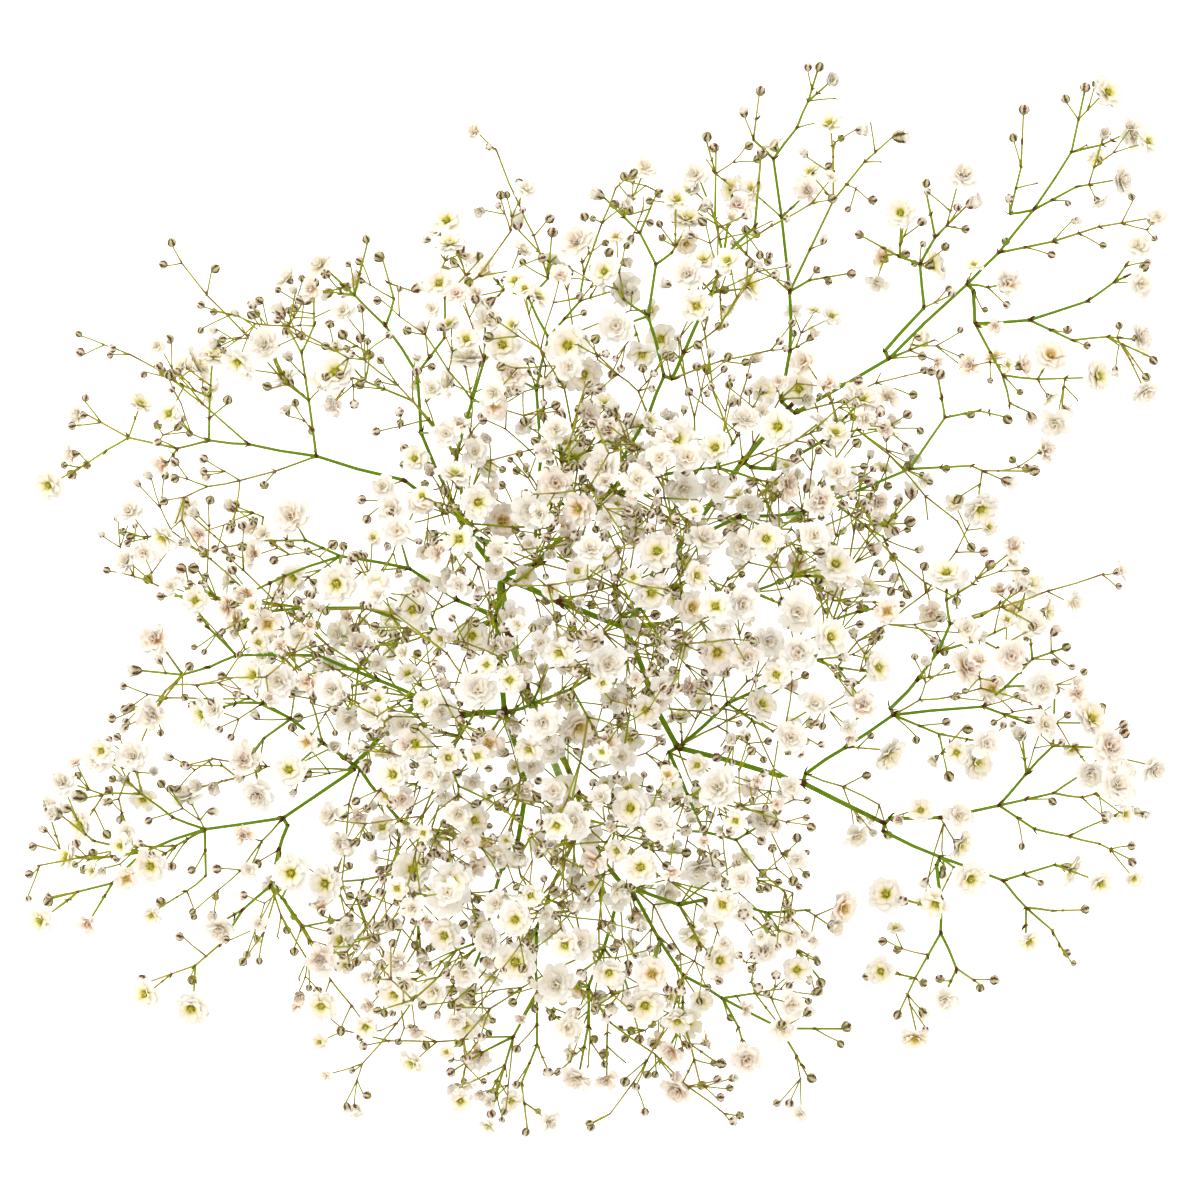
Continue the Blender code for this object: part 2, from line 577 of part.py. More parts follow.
def nearest_on(stalks, x, y, z=None):
    """The nearest place on some stalks to a point: the place, the direction there and the radius."""
    best = None
    for stalk in stalks:
        for i in range(len(stalk.line) - 1):
            start, end = stalk.line[i], stalk.line[i + 1]
            span = minus(end, start)
            flat = span if z is not None else (span[0], span[1], 0.0)
            apart = (x - start[0], y - start[1], (z - start[2]) if z is not None else 0.0)
            share = max(0.0, min(1.0, dot(apart, flat) / max(dot(flat, flat), LEAST_SQUARE)))
            off = length_of(minus(apart, (flat[0] * share, flat[1] * share, flat[2] * share)))
            if best is None or off < best[0] - NEARER:
                radius = stalk.radii[i] + (stalk.radii[i + 1] - stalk.radii[i]) * share
                best = (off, plus(start, span, share), unit(span), radius)
    return best[1:]


def head_size(rng, kind):
    """Radius of a head of a kind."""
    if kind == BLOOM:
        return rng.uniform(*BLOOM_RADII)
    if kind == CUP:
        return CUP_RADIUS * rng.uniform(*HEAD_SPREAD)
    if kind == BUD:
        return BUD_RADIUS * rng.uniform(*HEAD_SPREAD)
    return 0.0


def face(rng, direction, kind):
    """Which way a head looks: blooms turn up to the light, buds stay on their pedicel's line."""
    stray = (rng.uniform(-STRAY, STRAY), rng.uniform(-STRAY, STRAY), rng.uniform(*STRAY_UP) + HEAD_LIFT[kind])
    facing = unit(plus(stray, direction, LINE_KEPT))
    while dot(facing, direction) < LEAST_NOD:
        facing = unit(plus(facing, direction, NOD_STEP))
    return facing


def seat_options(carrier_stalks, plan):
    """Roots for a spine beside its carrier: at the fork first, then back along it and round it."""
    place, along, radius = nearest_on(carrier_stalks, *plan[0])
    for back in SEAT_SLIDES:
        spot, along, radius = nearest_on(carrier_stalks, *plus(place, along, back))
        ahead = (plan[1][0] - spot[0], plan[1][1] - spot[1], SEAT_SLOPE * abs(plan[1][0] - spot[0]))
        out = minus(ahead, tuple(v * dot(ahead, along) for v in along))
        out = unit(out)
        turned = cross(along, out)
        for angle in SEAT_TURNS:
            away = unit(plus(tuple(v * math.cos(angle) for v in out), turned, math.sin(angle)))
            yield plus(spot, away, radius + SEAT_GAP), away


def route(root, away, plan, tip_height, arch, bow, thick):
    """Centre line of an axis through its plan, rising evenly from its root to its tip with an arch."""
    flat = [(root[0], root[1])] + list(plan[1:])
    run = [0.0]
    for i in range(1, len(flat)):
        east, north = flat[i][0] - flat[i - 1][0], flat[i][1] - flat[i - 1][1]
        run.append(run[-1] + math.sqrt(east * east + north * north))
    line = [root]
    if away is not None:
        line.append(plus(root, away, thick * SEAT_RISE))
    east, north = flat[-1][0] - flat[0][0], flat[-1][1] - flat[0][1]
    square = unit((-north, east, 0.0))
    for i in range(1, len(flat)):
        share = run[i] / run[-1]
        hump = HUMP_PEAK * share * (1.0 - share)
        height = root[2] + (tip_height - root[2]) * share + (arch + ARCH * run[-1]) * hump
        line.append((flat[i][0] + square[0] * bow * hump, flat[i][1] + square[1] * bow * hump,
                     max(height, LOWEST_AXIS)))
    return line


def taper(line, thick, thin):
    """Radii along a centre line that thins evenly, a little swollen where it forks."""
    run = [0.0]
    for i in range(1, len(line)):
        run.append(run[-1] + length_of(minus(line[i], line[i - 1])))
    radii = [thick + (thin - thick) * r / run[-1] for r in run]
    return [r * NODE_SWELL if 0 < i < len(line) - 1 else r for i, r in enumerate(radii)]


def place_axis(rng, space, stalks, carrier, spec, owner):
    """Fit one hand-placed axis among what is placed already, by the plainest course that is clear."""
    carrier_stalks, carrier_number = carrier
    spine = not stalks
    kind = spec.ending
    size = head_size(rng, kind)
    thin = AXIS_TIP_RADIUS if spine else PEDICEL_RADIUS
    if spine:
        roots = list(seat_options(carrier_stalks, spec.plan))
        thick = AXIS_RADIUS
    else:
        root, _, radius = nearest_on(stalks, *spec.plan[0])
        roots = [(root, None)]
        thick = max(PEDICEL_RADIUS, min(TWIG_RADIUS, radius * TWIG_SHARE))
    tip_x, tip_y = spec.plan[-1]
    tip_height = max(size * FLOOR_SHARE, spec.lift * (dome(tip_x, tip_y) - size))
    best, best_gap = None, -FAR
    head_seed = rng.getrandbits(30)
    for arch, bow, rise, (root, away) in courses(roots):
        tip = max(size * FLOOR_SHARE, tip_height + rise)
        line = route(root, away, spec.plan, tip, arch, bow, thick)
        stalk = finish_stalk(line, taper(line, thick, thin), AXIS_SIDES if spine else TWIG_SIDES,
                             kind, size, random.Random(head_seed))
        gap = clear_distance(space, stalk, owner, carrier_number, OWN_REACH)
        if gap > best_gap:
            best, best_gap = stalk, gap
        if gap >= CLEARANCE:
            break
    return best


def courses(roots):
    """Ways to bend an axis clear, from the plainest on: its arch, its bow, its rise and its root."""
    for rise in BENDS:
        for arch in BENDS:
            for bow in BOWS:
                for root in roots if rise == arch == bow == 0.0 else roots[:1]:
                    yield arch, bow, rise, root


def finish_stalk(line, radii, sides, kind, size, rng):
    """A stalk drawn back from the middle of its head, which looks along its last run or up to the light."""
    facing = face(rng, unit(minus(line[-1], line[-2])), kind)
    line = line[:-1] + [plus(line[-1], facing, -HEAD_BASE[kind] * size)]
    return Stalk(line, radii, sides, kind, size, facing)


def pedicel(rng, space, place, along, radius, kind, owner):
    """One pedicel from a fork, tried in seeded directions until its head is clear."""
    size = head_size(rng, kind)
    long = rng.uniform(*PEDICEL_LENGTHS)
    side = side_of(along)
    other = cross(along, side)
    for attempt in range(PEDICEL_TRIES):
        turn = rng.uniform(0.0, math.tau)
        lean = rng.uniform(*PEDICEL_LEANS)
        reach = long if attempt < PEDICEL_TRIES // 2 else long * SHORTER
        out = plus(tuple(v * math.cos(turn) for v in side), other, math.sin(turn))
        direction = unit(plus(tuple(v * math.cos(lean) for v in along), out, math.sin(lean)))
        tip = plus(place, direction, reach + size * HEAD_BASE[kind])
        if not in_dome(tip, size):
            continue
        thick = min(PEDICEL_RADIUS, radius * TWIG_SHARE)
        stalk = finish_stalk([place, tip], [thick, thick], TWIG_SIDES, kind, size, rng)
        if clear_distance(space, stalk, owner, owner, JOINT_REACH) >= CLEARANCE:
            return stalk
    return None


def in_dome(tip, size):
    """Whether a head keeps off the surface, under the dome and inside the spread."""
    if tip[2] < size or tip[2] > dome(tip[0], tip[1]) + DOME_SPARE:
        return False
    return abs(tip[0] - SPREAD_MIDDLE[0]) < SPREAD[0] and abs(tip[1] - SPREAD_MIDDLE[1]) < SPREAD[1]


def forks_of(stalk):
    """Places along an axis where pedicels leave it: its inner forks, and one shortly before its head."""
    places = []
    for i in range(1, len(stalk.line) - 1):
        along = unit(minus(stalk.line[i + 1], stalk.line[i - 1]))
        places.append((stalk.line[i], along, stalk.radii[i], False))
    last = minus(stalk.line[-1], stalk.line[-2])
    long = length_of(last)
    if long > END_FORK + JOINT_REACH:
        place = plus(stalk.line[-2], last, 1.0 - END_FORK / long)
        places.append((place, unit(last), stalk.radii[-1], True))
    return places


def grow():
    """Every stalk of every node, in the order in which they take up room."""
    space = Space()
    nodes = {"main_stem": main_stem_stalks()}
    numbers = {"main_stem": 0}
    for stalk in nodes["main_stem"]:
        space.add_stalk(stalk, 0)
    for number, spray in enumerate(SPRAYS, 1):
        numbers[spray.name] = number
        rng = random.Random(AXIS_SEED + number)
        grown = nodes[spray.name] = []
        for spec in spray.axes:
            carrier = nodes[spray.carrier], numbers[spray.carrier]
            grown.append(place_axis(rng, space, grown, carrier, spec, number))
            space.add_stalk(grown[-1], number)
    for number, spray in enumerate(SPRAYS, 1):
        rng = random.Random(PEDICEL_SEED + number)
        for stalk in list(nodes[spray.name]):
            grow_pedicels(rng, space, stalk, nodes[spray.name], number)
    return nodes


def grow_pedicels(rng, space, stalk, grown, number):
    """The pedicels that leave one axis."""
    for place, along, radius, end in forks_of(stalk):
        for kind in fork_kinds(rng, place, end):
            new = pedicel(rng, space, place, along, radius, kind, number)
            if new:
                grown.append(new)
                space.add_stalk(new, number)


def bloom_chance(place):
    """How likely an inner fork bears a bloom, which is likelier near the middle."""
    off = math.hypot(place[0] - DOME_MIDDLE[0], place[1] - DOME_MIDDLE[1])
    return INNER_BLOOMS + CENTRE_BLOOMS * max(0.0, 1.0 - off / CENTRE_REACH)


def fork_kinds(rng, place, end):
    """What a fork bears: a pair at the end of an axis, and one here and there further down."""
    if end:
        if rng.random() < END_BARE:
            return ()
        first = BLOOM if rng.random() < END_BLOOMS else CUP
        return (first, BUD) if rng.random() < END_BUDS else (first,)
    draw = rng.random()
    chance = bloom_chance(place)
    if draw < chance:
        return (BLOOM,)
    if draw < chance + INNER_BUDS:
        return (BUD,)
    return ()


def main_stem_stalks():
    """The cut stem along the surface and the crown of forks that carries the sprays."""
    stalks = []
    for number, line in enumerate(MAIN_STEM):
        points = [tuple(float(v) for v in point) for point in line]
        if number == 0:
            radii = taper(points, STEM_RADIUS, CROWN_RADIUS)
            stalks.append(Stalk(points, radii, STEM_SIDES))
            continue
        radii = taper(points, CROWN_RADIUS, CROWN_TIP_RADIUS)
        stalks.append(Stalk(points, radii, CROWN_SIDES))
    return stalks


@dataclass(frozen=True)
class Whorl:
    """One ring of a head: its points, then their reach and height as shares of the head's radius."""

    points: int
    reach: tuple
    height: tuple


HEADS = {
    BLOOM: (Whorl(10, (1.0, 0.68), (0.1, -0.1)),),
    CUP: (Whorl(5, (0.72,), (-0.25,)), Whorl(5, (0.86,), (0.62,))),
    BUD: (Whorl(5, (1.0,), (0.0,)),),
}
LARGE_BLOOM = (Whorl(10, (1.0, 0.72), (0.06, -0.1)), Whorl(5, (0.54,), (0.44,)))
HEART = {BLOOM: 0.42, BUD: 1.0}


class Shell:
    """One closed mesh, gathered ring by ring from its root to its tip."""

    def __init__(self):
        self.points = []
        self.faces = []
        self.slots = []

    def ring(self, centre, side, other, up, radius, whorl):
        """Add a ring of points round a centre."""
        first = len(self.points)
        for i in range(whorl.points):
            angle = math.tau * (i + whorl_phase(whorl)) / whorl.points
            reach = radius * whorl.reach[i % len(whorl.reach)]
            height = radius * whorl.height[i % len(whorl.height)]
            point = plus(plus(centre, side, reach * math.cos(angle)), other, reach * math.sin(angle))
            self.points.append(plus(point, up, height))
        return list(range(first, len(self.points)))

    def face(self, corners, slot):
        """Add a face."""
        self.faces.append(tuple(corners))
        self.slots.append(slot)

    def bridge(self, low, high, slot):
        """Join two rings of any counts with triangles."""
        i = j = 0
        while i < len(low) or j < len(high):
            lower, upper = low[i % len(low)], high[j % len(high)]
            if j == len(high) or (i < len(low) and (i + 1) * len(high) <= (j + 1) * len(low)):
                self.face((lower, low[(i + 1) % len(low)], upper), slot)
                i += 1
            else:
                self.face((lower, high[(j + 1) % len(high)], upper), slot)
                j += 1

    def close(self, ring, slot, point=None):
        """Close a ring with a cap, or with a cone to a point."""
        if point is None:
            self.face(ring, slot)
            return
        self.points.append(point)
        for i, corner in enumerate(ring):
            self.face((corner, ring[(i + 1) % len(ring)], len(self.points) - 1), slot)


def whorl_phase(whorl):
    """Rings of even count are turned half a step, so that a lying tube rests on a flat."""
    return 0.5 if whorl.points % 2 == 0 and len(whorl.reach) == 1 else 0.0


def squared(side, direction):
    """A side vector turned square to a new direction."""
    return unit(plus(side, direction, -dot(side, direction)))


def stalk_shell(stalk):
    """The closed mesh of a stalk with its head."""
    shell = Shell()
    line = stalk.line
    runs = [unit(minus(line[i + 1], line[i])) for i in range(len(line) - 1)]
    side = side_of(runs[0])
    tube = Whorl(stalk.sides, (1.0,), (0.0,))
    last = None
    for i, (place, radius) in enumerate(zip(line, stalk.radii)):
        direction = unit(plus(runs[max(i - 1, 0)], runs[min(i, len(runs) - 1)]))
        side = squared(side, direction)
        ring = shell.ring(place, side, cross(direction, side), direction, radius, tube)
        if last is None:
            shell.close(ring[::-1], STEM_SLOT)
        else:
            shell.bridge(last, ring, STEM_SLOT)
        last = ring
    if stalk.head == CUT:
        shell.close(last, STEM_SLOT)
        return shell
    add_head(shell, stalk, last, side)
    return shell


def add_head(shell, stalk, last, side):
    """The petals or the bud that open from the end of a stalk, as one closed form with it."""
    facing, size, centre = stalk.facing, stalk.size, stalk.centre()
    side = squared(side, facing)
    other = cross(facing, side)
    large = stalk.head == BLOOM and size > LARGE_BLOOM_SIZE
    slot = BUD_SLOT if stalk.head != BLOOM else PETAL_SLOT
    for whorl in LARGE_BLOOM if large else HEADS[stalk.head]:
        ring = shell.ring(centre, side, other, facing, size, whorl)
        shell.bridge(last, ring, slot)
        last = ring
        slot = BUD_SLOT if stalk.head == BUD else PETAL_SLOT
    flat = large or stalk.head == CUP
    shell.close(last, slot, None if flat else plus(centre, facing, size * HEART[stalk.head]))


def material(name, colour, roughness):
    """A Principled material with its name, colour and roughness."""
    made = bpy.data.materials.new(name)
    made.use_nodes = True
    shader = made.node_tree.nodes["Principled BSDF"]
    shader.inputs["Base Color"].default_value = (*colour, 1.0)
    shader.inputs["Roughness"].default_value = roughness
    shader.inputs["Metallic"].default_value = 0.0
    return made


def stalk_object(name, stalk, materials, collection):
    """One stalk as a mesh object in a collection, in metres, kept above the surface."""
    shell = stalk_shell(stalk)
    points = [(x * METRES, y * METRES, max(z, 0.0) * METRES) for x, y, z in shell.points]
    mesh = bpy.data.meshes.new(name)
    mesh.from_pydata(points, [], shell.faces)
    for one in materials:
        mesh.materials.append(one)
    mesh.polygons.foreach_set("material_index", shell.slots)
    mesh.update()
    made = bpy.data.objects.new(name, mesh)
    collection.objects.link(made)
    return made


def node_object(name, stalks, materials):
    """One node: its stalks joined by a Boolean union on a collection, which is then removed."""
    scene = bpy.context.scene.collection
    whole = stalk_object(name, stalks[0], materials, scene)
    pieces = bpy.data.collections.new(name + "_pieces")
    scene.children.link(pieces)
    for number, stalk in enumerate(stalks[1:]):
        stalk_object(f"{name}_{number}", stalk, materials, pieces)
    union = whole.modifiers.new("join", "BOOLEAN")
    union.operation = "UNION"
    union.operand_type = "COLLECTION"
    union.collection = pieces
    for solver in ("EXACT", "MANIFOLD"):
        union.solver = solver
        joined = joined_mesh(whole)
        if joined:
            break
    whole.modifiers.clear()
    whole.data = joined
    for piece in list(pieces.objects):
        bpy.data.objects.remove(piece, do_unlink=True)
    bpy.data.collections.remove(pieces)
    joined.shade_smooth()
    joined.set_sharp_from_angle(angle=SHARP_ANGLE)
    return whole


def joined_mesh(whole):
    """The evaluated mesh in triangles, with flat neighbours merged, or None where it isn't closed."""
    bpy.context.view_layer.update()
    mesh = bpy.data.meshes.new_from_object(whole.evaluated_get(bpy.context.evaluated_depsgraph_get()))
    for flat_angle in (FLAT_ANGLE, None):
        shape = bmesh.new()
        shape.from_mesh(mesh)
        if flat_angle:
            bmesh.ops.dissolve_limit(shape, angle_limit=flat_angle, verts=shape.verts, edges=shape.edges)
        bmesh.ops.triangulate(shape, faces=shape.faces)
        closed = all(len(edge.link_faces) == 2 for edge in shape.edges)
        if closed:
            shape.to_mesh(mesh)
        shape.free()
        if closed:
            return mesh
    return None


def main():
    """Clear the scene and build the stem and its sprays under one empty."""
    for old in list(bpy.data.objects):
        bpy.data.objects.remove(old, do_unlink=True)
    materials = [material(*finish) for finish in FINISHES]
    whole = bpy.data.objects.new("gypsophila_stem", None)
    bpy.context.scene.collection.objects.link(whole)
    for name, stalks in grow().items():
        node_object(name, stalks, materials).parent = whole


main()
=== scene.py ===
"""A cut stem of double white gypsophila, laid down and seen from above, dressed for its picture.

The same plan and the same seeded growth as the solids give every axis, pedicel and head.
Petals in their whorls, striped calyces, thin twigs with more buds, swollen nodes and small bracts are
built on them. Lengths are millimetres until a mesh is written.
"""

import logging
import math
import random
from dataclasses import dataclass, field, replace
from enum import Enum
from typing import Iterator, Optional, Sequence

import bpy
import numpy as np
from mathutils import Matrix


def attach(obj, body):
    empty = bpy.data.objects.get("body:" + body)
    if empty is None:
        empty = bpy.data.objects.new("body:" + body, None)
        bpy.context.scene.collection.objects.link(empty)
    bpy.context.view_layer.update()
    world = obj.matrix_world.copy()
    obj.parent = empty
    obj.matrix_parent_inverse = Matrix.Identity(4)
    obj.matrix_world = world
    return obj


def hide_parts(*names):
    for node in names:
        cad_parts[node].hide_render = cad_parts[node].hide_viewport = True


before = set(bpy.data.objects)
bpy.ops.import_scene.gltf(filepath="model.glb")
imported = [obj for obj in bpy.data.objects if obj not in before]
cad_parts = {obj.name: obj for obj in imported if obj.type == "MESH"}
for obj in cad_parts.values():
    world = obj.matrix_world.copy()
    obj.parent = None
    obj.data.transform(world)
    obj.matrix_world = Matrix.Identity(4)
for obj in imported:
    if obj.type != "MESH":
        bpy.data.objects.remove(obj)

Vec = tuple[float, float, float]

METRES = 0.001
LOG = logging.getLogger("gypsophila")

# The dome of blooms over the spread.
DOME_MIDDLE = (-8.0, -15.0)
DOME_REACH = 168.0
DOME_HEIGHT = 92.0
DOME_EDGE = 13.0
DOME_SPARE = 3.0
SPREAD_MIDDLE = (0.5, 0.0)
SPREAD = (143.0, 136.0)

# Radii of the stems, and how much a stem swells at a fork.
STEM_RADIUS = 1.15
CROWN_RADIUS = 0.85
CROWN_TIP_RADIUS = 0.66
AXIS_RADIUS = 0.56
AXIS_TIP_RADIUS = 0.36
TWIG_RADIUS = 0.42
PEDICEL_RADIUS = 0.3
TWIG_SHARE = 0.85
NODE_SWELL = 1.2
STEEP = 0.95

# Radii of the heads.
BUD_RADIUS = 1.4
BLOOM_RADII = (3.4, 5.0)
CUP_RADIUS = 2.9
HEAD_SPREAD = (0.85, 1.15)
FLOOR_SHARE = 0.9

# How an axis arches, and how low it may run.
ARCH = 0.06
HUMP_PEAK = 4.0
LOWEST_AXIS = 1.2

# Which way a head looks: how far it keeps its stem's line, and how far it strays from it.
LINE_KEPT = 0.6
STRAY = 0.4
STRAY_UP = (-0.15, 0.25)
LEAST_NOD = 0.4
NOD_STEP = 0.2

# Pedicels: their length, the tries each gets, and what the forks bear.
PEDICEL_LENGTHS = (6.5, 12.0)
PEDICEL_LEANS = (0.6, 1.25)
PEDICEL_TRIES = 24
LEAST_TIP = 0.24
SHORTER = 0.75
END_FORK = 8.0
END_BARE = 0.45
END_BLOOMS = 0.75
END_BUDS = 0.12
INNER_BLOOMS = 0.1
CENTRE_BLOOMS = 0.42
CENTRE_REACH = 105.0
INNER_BUDS = 0.02

# Seats of the sprays beside the stem that carries them, and the gaps that are kept.
SEAT_GAP = 0.62
SEAT_RISE = 1.8
SEAT_SLOPE = 0.15
SEAT_SLIDES = (0.0, -2.0, -4.0, -6.0, -8.0)
SEAT_TURNS = (0.0, 0.8, -0.8, 1.6, -1.6, 2.4, -2.4)
BENDS = (0.0, 3.0, -3.0, 6.0, -6.0, 10.0)
BOWS = (0.0, 2.0, -2.0)
CLEARANCE = 0.55
OWN_CLEARANCE = 0.1
ROOT_CLEARANCE = -0.12
JOINT_REACH = 2.4
OWN_REACH = 6.0
NEIGHBOURS = 12.0
SAMPLE_STEP = 1.2
FAR = 1000.0
NEARER = 1e-6
LEAST_SQUARE = 1e-9
AXIS_SEED = 2000
PEDICEL_SEED = 20000
HEAD_SEED_BITS = 30

# How many sides each kind of stem has.
STEM_SIDES = 10
CROWN_SIDES = 9
AXIS_SIDES = 7
TWIG_SIDES = 6
FINE_SIDES = 4

# How much of a petal's cream is painted shade that grows towards the inner whorls; the rest is its own random
# draw.
DEEP_PAINTED_SHADE_SHARE = 0.6

# Faces that meet at more than this are shaded apart: the two faces of a petal at its rim.
RIM_ANGLE = math.radians(100.0)

# The tone's last number: up to here it says how green a petal's claw is, and 1 is the heart of the throat.
GREEN_CLAW = 0.5
LEAST_THROAT = 0.5


class Head(Enum):
    """What ends a stalk."""

    BLOOM = "bloom"
    CUP = "cup"
    BUD = "bud"
    CUT = "cut"


BLOOM, CUP, BUD, CUT = Head
HEAD_BASE = {BLOOM: 0.58, CUP: 0.8, BUD: 0.9, CUT: 0.0}
HEAD_LIFT = {BLOOM: 0.9, CUP: 0.35, BUD: 0.1, CUT: 0.0}


@dataclass(frozen=True)
class Axis:
    """One listed axis: how far its tip is lifted, as a share of the dome, what ends it, and its plan."""

    lift: float
    ending: Head
    plan: tuple


@dataclass(frozen=True)
class Spray:
    """One side branch: the node that carries it, and its axes, the first of which is its spine."""

    name: str
    carrier: str
    axes: tuple


def axis(lift: float, ending: Head, *plan: tuple[float, float]) -> Axis:
    """An axis from a short row: the plan's first point is on its carrier, the last under its bloom."""
    return Axis(lift, ending, plan)


MAIN_STEM = (
    ((3, -76, 1.38), (-4, -57.5, 1.38), (-11, -38, 2.6), (-17, -22.5, 7), (-21, -9, 15), (-23, 6, 24)),
    ((-23, 6, 24), (-14, 9, 33), (-4, 20, 41), (8, 30.5, 47)),
    ((-23, 6, 24), (-24, -5, 28), (-23, -17, 32), (-22, -28, 34), (-16.5, -47, 34), (-19, -62.5, 30)),
    ((-24, -5, 28), (-40, -10.5, 33)),
    ((-22, -28, 34), (-33, -29, 36), (-44, -26, 34), (-53, -34, 31), (-61.5, -43, 27)),
    ((-23, 6, 24), (-8, -0.5, 28), (8.5, -7, 32), (16, -27, 35), (21.5, -37, 36), (53, -46, 31),
     (74, -56.5, 23)),
    ((8.5, -7, 32), (17, 7, 29), (25, 17.5, 27), (38, 35, 24), (51, 50, 22)),
    ((-23, 6, 24), (-31.5, 17, 33), (-36, 26, 40)),
    ((-17, -22.5, 7), (-9, -36, 14), (-3.5, -49, 20), (-2, -60, 23), (11, -76, 24)),
)

